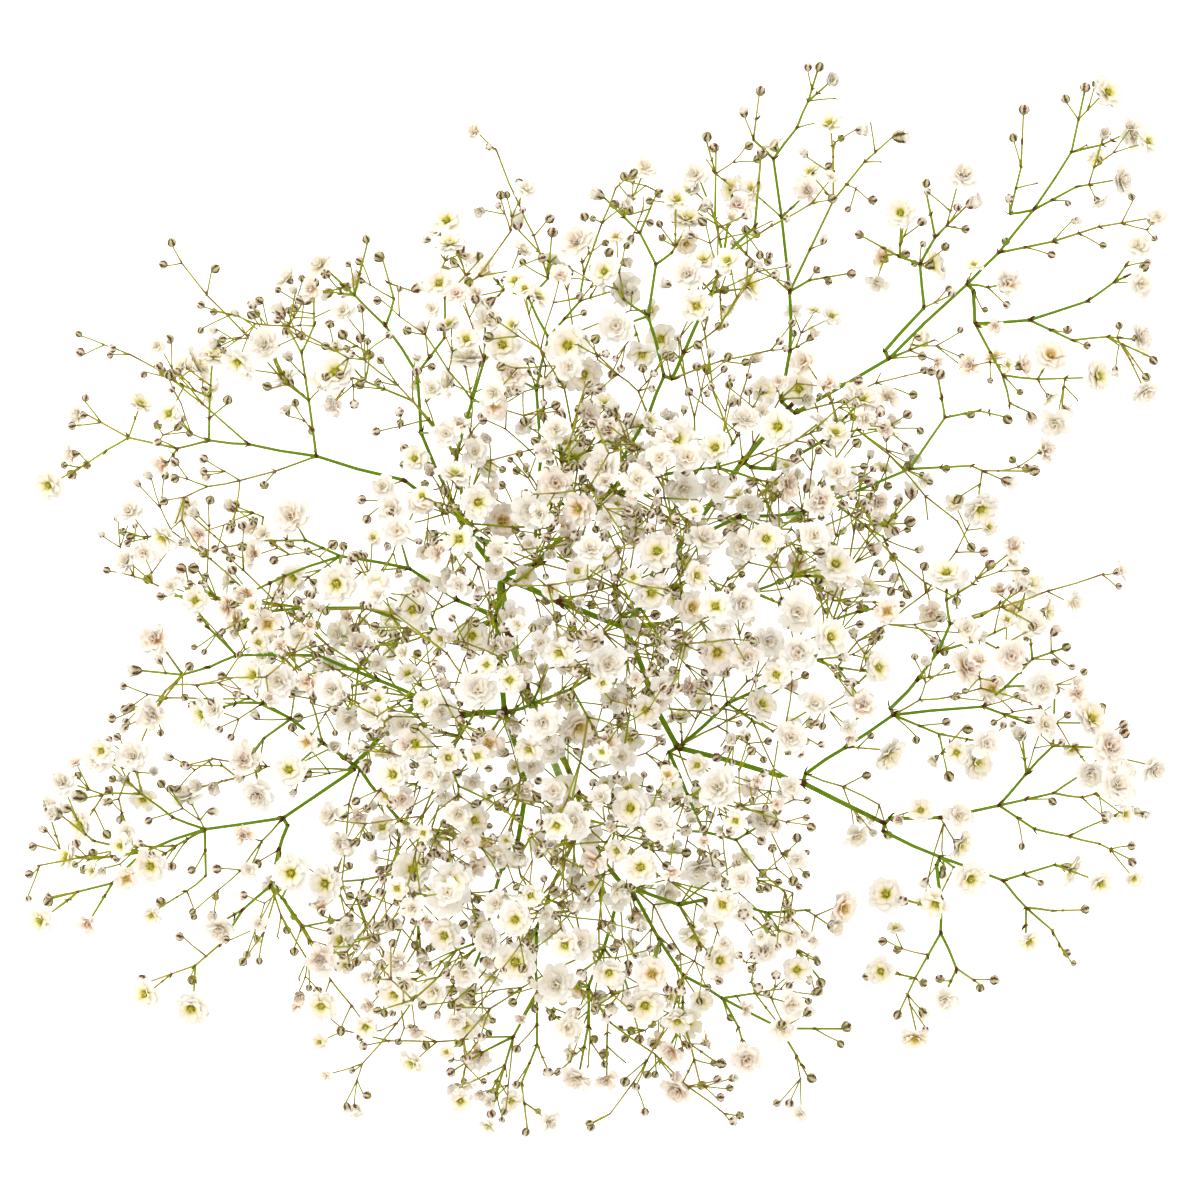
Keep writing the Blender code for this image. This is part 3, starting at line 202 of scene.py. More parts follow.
SPRAYS = (
    Spray("upper_right_spray", "main_stem", (
        axis(0.0, BUD, (51, 50), (75, 61), (95, 80), (103, 88), (112, 99), (122, 114), (126, 131)),
        axis(0.6, BUD, (112, 99), (106, 98), (109, 110), (110, 125)),
        axis(0.8, BLOOM, (112, 99), (123, 105), (135, 107)),
        axis(0.2, BLOOM, (122, 114), (130, 116), (138, 119)),
        axis(1.0, BLOOM, (95, 80), (100, 79), (105, 80)),
        axis(0.35, CUT, (75, 61), (87, 66)),
        axis(0.15, BUD, (103, 88), (117, 91), (129, 95), (143, 97)),
    )),
    Spray("far_right_spray", "upper_right_spray", (
        axis(0.0, BUD, (95, 80), (97, 70), (111, 71), (126, 76), (133, 81), (141, 85)),
        axis(0.9, BLOOM, (133, 81), (139, 90)),
        axis(0.3, BLOOM, (111, 71), (122, 66), (131, 67), (140, 67)),
        axis(0.1, BUD, (131, 67), (143, 61)),
        axis(0.5, BLOOM, (97, 70), (104, 57), (113, 56), (129, 57)),
        axis(0.2, CUP, (104, 57), (106, 50), (112, 46)),
        axis(0.8, BLOOM, (113, 56), (116, 62)),
    )),
    Spray("small_right_spray", "upper_right_spray", (
        axis(0.4, BUD, (75, 61), (84, 74), (83, 85), (87, 92), (85, 106)),
        axis(0.6, CUP, (87, 92), (97, 101)),
        axis(0.2, BUD, (83, 85), (78, 87), (68, 93)),
        axis(0.7, BLOOM, (78, 87), (78, 98)),
    )),
    Spray("top_spray", "main_stem", (
        axis(0.3, BUD, (51, 50), (50, 63), (50, 78), (48, 97), (46, 112), (52, 120), (55, 127), (58, 136)),
        axis(0.1, BUD, (46, 112), (41, 117), (43, 130)),
        axis(0.8, BLOOM, (50, 78), (61, 101), (61, 112), (60, 121)),
        axis(0.5, CUP, (61, 101), (69, 111), (79, 118)),
        axis(0.8, BLOOM, (48, 97), (54, 103)),
        axis(0.2, BUD, (50, 78), (55, 81), (66, 83)),
        axis(0.9, CUP, (55, 127), (61, 132)),
    )),
    Spray("north_east_spray", "main_stem", (
        axis(0.7, CUP, (8, 30.5), (14, 46), (18, 56), (14, 71), (16, 84), (12, 92), (1, 102)),
        axis(0.4, BUD, (12, 92), (17, 103)),
        axis(0.7, BLOOM, (16, 84), (20, 87), (24, 96)),
        axis(0.8, BLOOM, (14, 71), (8, 75), (3, 82)),
        axis(0.9, BLOOM, (14, 71), (6, 68)),
    )),
    Spray("upper_middle_spray", "north_east_spray", (
        axis(0.5, BUD, (18, 56), (23, 62), (30, 77), (33, 86), (41, 94), (43, 113)),
        axis(0.3, BUD, (33, 86), (31, 96), (31, 115)),
        axis(0.8, BLOOM, (31, 96), (26, 107)),
        axis(0.7, CUP, (33, 86), (37, 103)),
        axis(0.9, BLOOM, (30, 77), (26, 73)),
        axis(0.6, BLOOM, (30, 77), (40, 79)),
    )),
    Spray("north_spray", "main_stem", (
        axis(0.5, BLOOM, (-14, 9), (-13, 35), (-14, 53), (-11, 66), (-16, 76), (-22, 78), (-27, 83)),
        axis(0.4, BUD, (-16, 76), (-11, 81), (-10, 93)),
        axis(0.7, BLOOM, (-11, 66), (-3, 75), (-2, 82), (-4, 90)),
        axis(0.9, BLOOM, (-11, 66), (-6, 63)),
        axis(0.9, BLOOM, (-14, 53), (-20, 56)),
    )),
    Spray("north_west_spray", "main_stem", (
        axis(0.4, BLOOM, (-36, 26), (-43, 42), (-44, 57), (-52, 69), (-60, 77), (-69, 85)),
        axis(0.3, BUD, (-52, 69), (-50, 76), (-54, 87)),
        axis(0.5, BUD, (-60, 77), (-57, 91)),
        axis(0.6, BLOOM, (-44, 57), (-37, 66), (-37, 76), (-38, 83), (-36, 90)),
        axis(0.3, BUD, (-37, 76), (-29, 87)),
        axis(0.9, BLOOM, (-43, 42), (-36, 41)),
    )),
    Spray("inner_north_spray", "main_stem", (
        axis(0.6, BLOOM, (-36, 26), (-34, 36), (-30, 50), (-27, 60), (-26, 70)),
        axis(0.4, BUD, (-34, 36), (-45, 50), (-57, 55), (-56, 62), (-63, 67)),
        axis(0.8, BLOOM, (-57, 55), (-64, 57)),
        axis(0.9, BLOOM, (-30, 50), (-24, 48)),
    )),
    Spray("west_upper_spray", "main_stem", (
        axis(0.7, BLOOM, (-36, 26), (-47, 30), (-69, 36), (-86, 39), (-96, 40), (-104, 38), (-108, 34)),
        axis(0.2, BLOOM, (-104, 38), (-117, 41), (-131, 47)),
        axis(0.0, BUD, (-117, 41), (-123, 38), (-133, 32)),
        axis(0.6, BLOOM, (-96, 40), (-96, 51), (-95, 62)),
        axis(0.3, BUD, (-96, 51), (-103, 54), (-109, 58)),
        axis(0.4, BUD, (-69, 36), (-71, 50), (-73, 62), (-70, 69), (-70, 80)),
        axis(0.8, BLOOM, (-71, 50), (-76, 54), (-82, 64)),
        axis(0.1, CUP, (-73, 62), (-80, 74)),
    )),
    Spray("west_middle_spray", "main_stem", (
        axis(0.6, BLOOM, (-24, -5), (-34, 0), (-46, 8), (-63, 11), (-77, 6), (-87, 1)),
        axis(0.1, BUD, (-63, 11), (-72, 15), (-84, 15), (-99, 12)),
        axis(0.4, BUD, (-84, 15), (-83, 21), (-90, 24)),
        axis(0.8, BLOOM, (-72, 15), (-75, 21)),
        axis(0.9, BLOOM, (-46, 8), (-48, 17)),
        axis(0.9, BLOOM, (-63, 11), (-63, 4)),
    )),
    Spray("west_spray", "main_stem", (
        axis(0.1, BUD, (-40, -10.5), (-57, -2), (-70, -2), (-84, -3), (-96, 1), (-110, 1)),
        axis(0.7, BLOOM, (-70, -2), (-73, -9)),
        axis(0.9, BLOOM, (-57, -2), (-53, 4)),
        axis(0.3, BUD, (-96, 1), (-101, 8)),
    )),
    Spray("west_lower_spray", "main_stem", (
        axis(0.1, CUP, (-44, -26), (-54, -20), (-69, -14), (-90, -14), (-97, -17), (-104, -19), (-117, -18)),
        axis(0.5, BLOOM, (-104, -19), (-108, -23), (-111, -29)),
        axis(0.6, BLOOM, (-104, -19), (-110, -10)),
        axis(0.3, BUD, (-90, -14), (-97, -7), (-101, -1), (-104, 8)),
        axis(0.8, BLOOM, (-69, -14), (-78, -20)),
        axis(0.9, BLOOM, (-54, -20), (-64, -22)),
    )),
    Spray("inner_west_spray", "main_stem", (
        axis(0.3, BLOOM, (-61.5, -43), (-68, -36), (-76, -30), (-83, -26), (-90, -26), (-99, -29)),
        axis(0.1, BUD, (-76, -30), (-83, -35), (-90, -45), (-94, -42), (-104, -42)),
        axis(0.7, BLOOM, (-83, -35), (-87, -40)),
        axis(0.9, BLOOM, (-68, -36), (-75, -42)),
        axis(0.4, CUP, (-90, -45), (-100, -47)),
    )),
    Spray("south_west_spray", "main_stem", (
        axis(0.0, BUD, (-61.5, -43), (-78, -55), (-98, -58), (-114, -64), (-122, -72), (-139, -77)),
        axis(0.6, CUP, (-114, -64), (-126, -61), (-136, -54)),
        axis(0.0, BUD, (-114, -64), (-128, -66), (-143, -63)),
        axis(0.4, CUP, (-98, -58), (-106, -55), (-114, -49), (-124, -40)),
        axis(0.1, CUP, (-114, -49), (-122, -49), (-131, -50)),
        axis(0.8, BLOOM, (-114, -49), (-115, -39)),
        axis(0.1, BUD, (-98, -58), (-98, -70), (-103, -74), (-110, -77)),
        axis(0.7, BLOOM, (-98, -58), (-105, -62), (-111, -67)),
        axis(0.5, BLOOM, (-122, -72), (-128, -82)),
    )),
    Spray("south_west_low_spray", "south_west_spray", (
        axis(0.5, BLOOM, (-78, -55), (-79, -63), (-81, -72), (-88, -78), (-94, -83)),
        axis(0.0, BUD, (-88, -78), (-94, -87), (-101, -93), (-115, -97)),
        axis(0.3, BLOOM, (-101, -93), (-102, -104)),
        axis(0.7, BLOOM, (-81, -72), (-78, -75), (-73, -82), (-68, -90)),
        axis(0.1, BUD, (-73, -82), (-62, -81)),
        axis(0.8, BLOOM, (-78, -75), (-75, -68)),
    )),
    Spray("south_inner_spray", "main_stem", (
        axis(0.3, CUP, (-61.5, -43), (-54, -49), (-48, -56), (-50, -69), (-45, -74), (-44, -81), (-43, -90)),
        axis(0.1, BUD, (-50, -69), (-58, -71), (-60, -76), (-63, -82)),
        axis(0.6, BLOOM, (-58, -71), (-67, -71)),
        axis(0.8, BLOOM, (-48, -56), (-39, -59), (-31, -60)),
        axis(0.9, BLOOM, (-54, -49), (-49, -43)),
        axis(0.7, BLOOM, (-45, -74), (-36, -74)),
    )),
    Spray("south_spray", "main_stem", (
        axis(0.0, BUD, (-19, -62.5), (-25, -75), (-27, -86), (-32, -98), (-34, -113)),
        axis(0.6, BLOOM, (-27, -86), (-34, -88), (-37, -84)),
        axis(0.2, BUD, (-34, -88), (-42, -92), (-49, -94)),
        axis(0.9, BLOOM, (-25, -75), (-19, -79)),
    )),
    Spray("south_middle_spray", "main_stem", (
        axis(0.0, CUP, (-2, -60), (-10, -72), (-14, -83), (-14, -100), (-20, -111), (-26, -127)),
        axis(0.2, BUD, (-20, -111), (-28, -115), (-36, -120)),
        axis(0.0, BUD, (-14, -100), (-14, -113), (-18, -123), (-17, -136)),
        axis(0.7, BLOOM, (-14, -100), (-10, -104), (-6, -107)),
        axis(0.8, BLOOM, (-14, -83), (-19, -90)),
    )),
    Spray("south_fork_spray", "main_stem", (
        axis(0.2, BLOOM, (11, -76), (3, -88), (-1, -98), (-1, -108), (-4, -122)),
        axis(0.0, BUD, (-1, -98), (4, -107), (3, -116)),
        axis(0.7, BLOOM, (-1, -98), (-9, -96)),
        axis(0.1, BUD, (3, -88), (8, -95), (10, -103), (12, -112)),
        axis(0.8, BLOOM, (3, -88), (-3, -85)),
    )),
    Spray("south_east_spray", "main_stem", (
        axis(0.0, BUD, (11, -76), (17, -86), (23, -95), (33, -101), (48, -109), (65, -109)),
        axis(0.1, BUD, (48, -109), (52, -116), (56, -122)),
        axis(0.0, BUD, (23, -95), (23, -107), (25, -113), (28, -124)),
        axis(0.1, BUD, (23, -107), (19, -115), (14, -121)),
        axis(0.5, BLOOM, (33, -101), (37, -108), (39, -116)),
        axis(0.8, BLOOM, (33, -101), (41, -99), (50, -101)),
        axis(0.8, BLOOM, (17, -86), (15, -93)),
    )),
    Spray("inner_east_south_spray", "main_stem", (
        axis(0.3, BUD, (11, -76), (22, -77), (32, -75), (44, -79), (52, -89), (58, -97)),
        axis(0.7, BLOOM, (22, -77), (27, -86), (32, -90)),
        axis(0.9, BLOOM, (32, -75), (37, -69)),
        axis(0.6, CUP, (44, -79), (54, -78), (61, -82)),
        axis(0.8, BLOOM, (44, -79), (43, -87)),
    )),
    Spray("south_centre_spray", "main_stem", (
        axis(0.6, BLOOM, (21.5, -37), (24, -49), (28, -58), (36, -60), (43, -55)),
        axis(0.9, BLOOM, (28, -58), (17, -57), (12, -66)),
        axis(0.8, BLOOM, (17, -57), (6, -56), (0, -65)),
        axis(0.9, BLOOM, (24, -49), (31, -46)),
    )),
    Spray("east_spray", "main_stem", (
        axis(0.1, BUD, (53, -46), (64, -37), (76, -29), (99, -27), (105, -22), (112, -15), (121, -12)),
        axis(0.3, BUD, (112, -15), (111, -3)),
        axis(0.4, BLOOM, (99, -27), (110, -31), (127, -30)),
        axis(0.1, BUD, (76, -29), (88, -34), (91, -45)),
        axis(0.7, BLOOM, (88, -34), (99, -36)),
        axis(0.8, BLOOM, (105, -22), (113, -22)),
        axis(0.9, BLOOM, (64, -37), (67, -26)),
    )),
    Spray("east_upper_spray", "east_spray", (
        axis(0.6, BLOOM, (76, -29), (82, -20), (87, -13), (90, -6), (89, 0), (89, 7)),
        axis(0.3, BUD, (89, 0), (96, 4), (101, 9)),
        axis(0.5, CUP, (90, -6), (98, -4), (109, 4)),
        axis(0.2, BLOOM, (87, -13), (98, -10), (107, -6), (116, -3)),
        axis(0.8, BLOOM, (98, -10), (105, -14)),
    )),
    Spray("far_east_spray", "main_stem", (
        axis(0.2, BUD, (74, -56.5), (88, -55), (103, -52), (110, -44), (117, -37), (118, -23)),
        axis(0.5, BLOOM, (117, -37), (131, -37)),
        axis(0.0, BUD, (103, -52), (117, -49), (125, -44), (136, -34)),
        axis(0.8, BLOOM, (117, -49), (124, -50), (133, -47)),
        axis(0.2, CUP, (103, -52), (112, -58), (121, -60), (130, -56), (138, -54)),
        axis(0.0, BUD, (121, -60), (129, -62), (138, -67)),
        axis(0.5, CUP, (110, -44), (108, -34)),
    )),
    Spray("south_east_far_spray", "main_stem", (
        axis(0.4, BLOOM, (74, -56.5), (88, -65), (104, -71), (110, -78), (111, -87)),
        axis(0.7, BLOOM, (104, -71), (117, -67), (129, -72)),
        axis(0.0, BUD, (110, -78), (117, -79), (126, -79)),
        axis(0.8, BLOOM, (88, -65), (95, -70)),
        axis(0.2, BUD, (110, -78), (117, -84), (121, -90)),
    )),
    Spray("south_east_low_spray", "south_east_far_spray", (
        axis(0.6, BLOOM, (88, -65), (88, -75), (88, -84), (92, -93), (89, -101)),
        axis(0.5, BLOOM, (88, -75), (84, -77), (74, -74)),
        axis(0.0, BUD, (88, -84), (82, -96), (78, -106)),
        axis(0.1, BUD, (92, -93), (99, -99)),
        axis(0.4, BLOOM, (82, -96), (73, -94)),
    )),
    Spray("east_middle_spray", "main_stem", (
        axis(0.2, BUD, (21.5, -37), (34, -26), (47, -20), (56, -15), (61, -5), (67, -3), (77, -1)),
        axis(0.1, BUD, (56, -15), (62, -17), (74, -19)),
        axis(0.9, BLOOM, (47, -20), (51, -13)),
        axis(0.7, BLOOM, (62, -17), (67, -25)),
        axis(0.9, BLOOM, (34, -26), (40, -30), (49, -34)),
    )),
    Spray("inner_east_spray", "main_stem", (
        axis(0.6, BLOOM, (8.5, -7), (27, -5), (40, 2), (50, 6), (63, 6)),
        axis(0.3, BUD, (50, 6), (52, 12), (61, 13)),
        axis(0.95, BLOOM, (27, -5), (37, -1)),
        axis(0.8, BLOOM, (40, 2), (51, -3)),
        axis(0.8, BLOOM, (27, -5), (31, -13)),
    )),
    Spray("east_north_east_spray", "main_stem", (
        axis(0.5, BUD, (25, 17.5), (37, 21), (53, 22), (60, 25), (80, 33), (89, 46), (88, 57)),
        axis(0.2, CUP, (80, 33), (96, 34), (106, 30)),
        axis(0.1, BUD, (89, 46), (98, 48), (106, 46)),
        axis(0.1, BUD, (60, 25), (69, 19), (81, 20)),
        axis(0.0, BUD, (69, 19), (74, 16), (77, 11)),
        axis(0.9, BLOOM, (53, 22), (43, 15)),
        axis(0.8, BLOOM, (60, 25), (61, 32)),
    )),
    Spray("upper_inner_spray", "main_stem", (
        axis(0.5, BLOOM, (38, 35), (46, 33), (58, 40), (62, 44), (68, 51)),
        axis(0.3, CUP, (58, 40), (67, 43), (76, 45)),
        axis(0.9, BLOOM, (46, 33), (46, 43)),
        axis(0.8, BLOOM, (62, 44), (59, 54)),
    )),
    Spray("inner_north_east_spray", "main_stem", (
        axis(0.8, BLOOM, (8, 30.5), (16, 31), (31, 33), (35, 39), (38, 45)),
        axis(0.95, BLOOM, (16, 31), (11, 27)),
        axis(0.7, BLOOM, (31, 33), (41, 30), (49, 29)),
        axis(0.9, BLOOM, (16, 31), (21, 40)),
    )),
    Spray("crown_spray", "main_stem", (
        axis(0.9, BLOOM, (-31.5, 17), (-30, 16), (-27, 15), (-23, 12)),
        axis(0.95, BLOOM, (-30, 16), (-30, 19), (-28, 24)),
        axis(0.8, BLOOM, (-30, 16), (-34, 14), (-38, 12)),
    )),
    Spray("centre_spray", "main_stem", (
        axis(0.95, BLOOM, (8.5, -7), (12, -2), (14, 4), (16, 12)),
        axis(0.85, BLOOM, (12, -2), (6, 3), (3, 10)),
        axis(0.9, BLOOM, (14, 4), (20, 3), (26, 6)),
        axis(0.7, BLOOM, (12, -2), (16, -8), (22, -12)),
    )),
    Spray("south_crown_spray", "main_stem", (
        axis(0.9, BLOOM, (-22, -28), (-15, -26), (-5, -22), (4, -16)),
        axis(0.95, BLOOM, (-15, -26), (-12, -30)),
        axis(0.8, BLOOM, (-5, -22), (-1, -29), (3, -36)),
        axis(0.7, BLOOM, (-15, -26), (-11, -17), (-7, -10)),
    )),
    Spray("south_west_crown_spray", "main_stem", (
        axis(0.9, BLOOM, (-33, -29), (-33, -34), (-36, -39), (-40, -43)),
        axis(0.95, BLOOM, (-33, -34), (-29, -28), (-28, -22)),
        axis(0.8, BLOOM, (-36, -39), (-33, -46), (-33, -53)),
        axis(0.7, BLOOM, (-33, -34), (-41, -32), (-47, -31)),
    )),
    Spray("centre_north_spray", "main_stem", (
        axis(0.9, BLOOM, (-4, 20), (-5, 27), (-7, 34), (-9, 42)),
        axis(0.9, BLOOM, (-5, 27), (0, 24), (4, 20)),
        axis(0.8, BLOOM, (-5, 27), (-10, 24), (-15, 22)),
        axis(0.8, BLOOM, (-7, 34), (-1, 37), (4, 42)),
    )),
)


def length_of(v: Vec) -> float:
    """Length of a vector."""
    return math.sqrt(v[0] * v[0] + v[1] * v[1] + v[2] * v[2])


def unit(v: Vec) -> Vec:
    """The vector scaled to one millimetre."""
    size = length_of(v) or 1.0
    return (v[0] / size, v[1] / size, v[2] / size)


def plus(a: Vec, b: Vec, scale: float = 1.0) -> Vec:
    """One vector plus a share of another."""
    return (a[0] + b[0] * scale, a[1] + b[1] * scale, a[2] + b[2] * scale)


def minus(a: Vec, b: Vec) -> Vec:
    """One vector less another."""
    return (a[0] - b[0], a[1] - b[1], a[2] - b[2])


def dot(a: Vec, b: Vec) -> float:
    """Scalar product."""
    return a[0] * b[0] + a[1] * b[1] + a[2] * b[2]


def cross(a: Vec, b: Vec) -> Vec:
    """Vector product."""
    return (a[1] * b[2] - a[2] * b[1], a[2] * b[0] - a[0] * b[2], a[0] * b[1] - a[1] * b[0])


def side_of(direction: Vec) -> Vec:
    """A unit vector square to a direction, level where it can be.

    Args:
        direction: The direction.

    Returns:
        The side vector.
    """
    if abs(direction[2]) > STEEP:
        return unit(cross(direction, (0.0, 1.0, 0.0)))
    return unit(cross(direction, (0.0, 0.0, 1.0)))


def squared(side: Vec, direction: Vec) -> Vec:
    """A side vector turned square to a new direction."""
    return unit(plus(side, direction, -dot(side, direction)))


def turned(side: Vec, other: Vec, angle: float) -> Vec:
    """A vector turned by an angle towards another that is square to it."""
    return plus(tuple(v * math.cos(angle) for v in side), other, math.sin(angle))


def dome(x: float, y: float) -> float:
    """Height of the dome of blooms over a point of the plan.

    Args:
        x: How far east the point is.
        y: How far north it is.

    Returns:
        The height.
    """
    east, north = x - DOME_MIDDLE[0], y - DOME_MIDDLE[1]
    share = (east * east + north * north) / (DOME_REACH * DOME_REACH)
    return DOME_EDGE + (DOME_HEIGHT - DOME_EDGE) * max(0.0, 1.0 - share)


def in_dome(tip: Vec, size: float) -> bool:
    """Whether a head keeps off the surface, under the dome and inside the spread.

    Args:
        tip: The middle of the head.
        size: Its radius.

    Returns:
        True where it does.
    """
    if tip[2] < size or tip[2] > dome(tip[0], tip[1]) + DOME_SPARE:
        return False
    return abs(tip[0] - SPREAD_MIDDLE[0]) < SPREAD[0] and abs(tip[1] - SPREAD_MIDDLE[1]) < SPREAD[1]


@dataclass(frozen=True)
class Fork:
    """A place that stems leave from: the way and the radius of its own stem, and whether it is the last."""

    place: Vec
    along: Vec
    radius: float
    last: bool = False

    def leaving(self, turn: float, lean: float) -> Vec:
        """The way of a stem that leaves by one angle round the carrier and another from it."""
        side = side_of(self.along)
        return unit(turned(self.along, turned(side, cross(self.along, side), turn), lean))


@dataclass
class Stalk:
    """One stem, axis or pedicel: its centre line, its radii, and the head that ends it."""

    line: list
    radii: list
    sides: int
    head: Head = CUT
    size: float = 0.0
    facing: Vec = (0.0, 0.0, 1.0)
    joints: list = field(default_factory=list)

    def centre(self) -> Vec:
        """Middle of the head, which the stalk ends just short of."""
        return plus(self.line[-1], self.facing, HEAD_BASE[self.head] * self.size)

    def run(self, i: int) -> Vec:
        """The run from one point of the line to the next."""
        return minus(self.line[i + 1], self.line[i])

    def on_run(self, i: int, share: float) -> Fork:
        """A place a share of the way along a run."""
        return Fork(plus(self.line[i], self.run(i), share), unit(self.run(i)), self.radii[i])

    def tip(self) -> Fork:
        """The end of the line."""
        return Fork(self.line[-1], unit(self.run(-2)), self.radii[-1])

    def inner_forks(self) -> list[Fork]:
        """The inner points of the line, where it bends and others leave it."""
        return [Fork(self.line[i], unit(minus(self.line[i + 1], self.line[i - 1])), self.radii[i])
                for i in range(1, len(self.line) - 1)]

    def forks(self) -> list[Fork]:
        """Places along an axis where pedicels leave it: its inner forks, and one shortly before its head.

        Returns:
            The places from the root on.
        """
        places = self.inner_forks()
        long = length_of(self.run(-2))
        if long > END_FORK + JOINT_REACH:
            end = self.on_run(-2, 1.0 - END_FORK / long)
            places.append(replace(end, radius=self.radii[-1], last=True))
        return places

    def samples(self) -> tuple[np.ndarray, np.ndarray, np.ndarray]:
        """Balls along the stalk, the ball of the head last.

        Returns:
            Their middles, their radii and how far each is from the root.
        """
        points, radii, reach = [], [], []
        gone = 0.0
        for i in range(len(self.line) - 1):
            long = length_of(self.run(i))
            count = max(1, int(long / SAMPLE_STEP))
            for k in range(count):
                share = k / count
                points.append(plus(self.line[i], self.run(i), share))
                radii.append(self.radii[i] + (self.radii[i + 1] - self.radii[i]) * share)
                reach.append(gone + long * share)
            gone += long
        points.append(self.centre())
        radii.append(max(self.size, self.radii[-1]))
        reach.append(gone)
        return np.array(points), np.array(radii), np.array(reach)


class Space:
    """What is placed so far: tapering segments and round heads, each with the node that owns it."""

    def __init__(self, room: int = 16000) -> None:
        """Make room for a number of segments.

        Args:
            room: The most segments and heads that are placed.
        """
        self.count = 0
        self.start = np.zeros((room, 3))
        self.span = np.zeros((room, 3))
        self.radius = np.zeros(room)
        self.owner = np.zeros(room, dtype=int)

    def add(self, start: Vec, end: Vec, radius: float, owner: int) -> None:
        """Take up the room of one segment.

        Args:
            start: One end.
            end: The other end.
            radius: Its radius.
            owner: The node that owns it.
        """
        self.start[self.count] = start
        self.span[self.count] = minus(end, start)
        self.radius[self.count] = radius
        self.owner[self.count] = owner
        self.count += 1

    def add_stalk(self, stalk: Stalk, owner: int) -> None:
        """Take up the room of a stalk and of its head.

        Args:
            stalk: The stalk.
            owner: The node that owns it.
        """
        for i in range(len(stalk.line) - 1):
            thick = max(stalk.radii[i], stalk.radii[i + 1])
            self.add(stalk.line[i], stalk.line[i + 1], thick, owner)
        if stalk.head != CUT:
            self.add(stalk.centre(), stalk.centre(), stalk.size, owner)

    def gap(self, points: np.ndarray, radii: np.ndarray, skipped: Sequence[int]) -> float:
        """Least clear distance from sampled balls to what is placed.

        Args:
            points: Middles of the balls.
            radii: Radii of the balls.
            skipped: Owners that are left out.

        Returns:
            The least gap, or FAR where nothing is near.
        """
        if not len(points) or not self.count:
            return FAR
        used = np.ones(self.count, dtype=bool)
        for owner in skipped:
            used &= self.owner[: self.count] != owner
        start, span = self.start[: self.count][used], self.span[: self.count][used]
        thick = self.radius[: self.count][used]
        if not len(start):
            return FAR
        low, high = points.min(axis=0) - NEIGHBOURS, points.max(axis=0) + NEIGHBOURS
        end = start + span
        near = np.all((np.minimum(start, end) < high) & (np.maximum(start, end) > low), axis=1)
        if not near.any():
            return FAR
        start, span, thick = start[near], span[near], thick[near]
        apart = points[:, None, :] - start[None, :, :]
        along = (apart * span[None]).sum(axis=2) / np.maximum((span * span).sum(axis=1), LEAST_SQUARE)[None]
        off = apart - np.clip(along, 0.0, 1.0)[:, :, None] * span[None]
        clear = np.sqrt((off * off).sum(axis=2)) - radii[:, None] - thick[None]
        return float(clear.min())

    def clear_distance(self, stalk: Stalk, owner: int, carrier: int, own_reach: float) -> float:
        """Least gap of a stalk to the others, easing the rule close to its root and inside its own node.

        Args:
            stalk: The stalk that is tried.
            owner: The node that it belongs to.
            carrier: The node that carries it.
            own_reach: How far from its root it may touch its own node.

        Returns:
            The least gap.
        """
        points, radii, reach = stalk.samples()
        root = reach < JOINT_REACH
        best = self.gap(points[root], radii[root], (owner, carrier))
        best = min(best, self.gap(points[root], radii[root], (owner,)) + CLEARANCE - ROOT_CLEARANCE)
        best = min(best, self.gap(points[~root], radii[~root], (owner,)))
        free = reach > own_reach
        return min(best, self.gap(points[free], radii[free], ()) + CLEARANCE - OWN_CLEARANCE)


def nearest_on(stalks: list[Stalk], x: float, y: float, z: Optional[float] = None) -> Fork:
    """The nearest place on some stalks to a point.

    Args:
        stalks: The stalks.
        x: How far east the point is.
        y: How far north it is.
        z: Its height, or None to look in plan only.

    Returns:
        The place.
    """
    best, best_off = None, FAR
    for stalk in stalks:
        for i in range(len(stalk.line) - 1):
            start, span = stalk.line[i], stalk.run(i)
            flat = span if z is not None else (span[0], span[1], 0.0)
            apart = (x - start[0], y - start[1], (z - start[2]) if z is not None else 0.0)
            share = max(0.0, min(1.0, dot(apart, flat) / max(dot(flat, flat), LEAST_SQUARE)))
            off = length_of(minus(apart, (flat[0] * share, flat[1] * share, flat[2] * share)))
            if off < best_off - NEARER:
                radius = stalk.radii[i] + (stalk.radii[i + 1] - stalk.radii[i]) * share
                best, best_off = replace(stalk.on_run(i, share), radius=radius), off
    return best


def head_size(rng: random.Random, kind: Head) -> float:
    """Radius of a head.

    Args:
        rng: The draws.
        kind: The kind of head.

    Returns:
        The radius.
    """
    if kind == BLOOM:
        return rng.uniform(*BLOOM_RADII)
    if kind == CUP:
        return CUP_RADIUS * rng.uniform(*HEAD_SPREAD)
    if kind == BUD:
        return BUD_RADIUS * rng.uniform(*HEAD_SPREAD)
    return 0.0


def face(rng: random.Random, direction: Vec, kind: Head) -> Vec:
    """Which way a head looks: blooms turn up to the light, buds stay on the line of their pedicel.

    Args:
        rng: The draws.
        direction: The way of the last run.
        kind: The kind of head.

    Returns:
        The way it looks.
    """
    stray = (rng.uniform(-STRAY, STRAY), rng.uniform(-STRAY, STRAY), rng.uniform(*STRAY_UP) + HEAD_LIFT[kind])
    facing = unit(plus(stray, direction, LINE_KEPT))
    while dot(facing, direction) < LEAST_NOD:
        facing = unit(plus(facing, direction, NOD_STEP))
    return facing


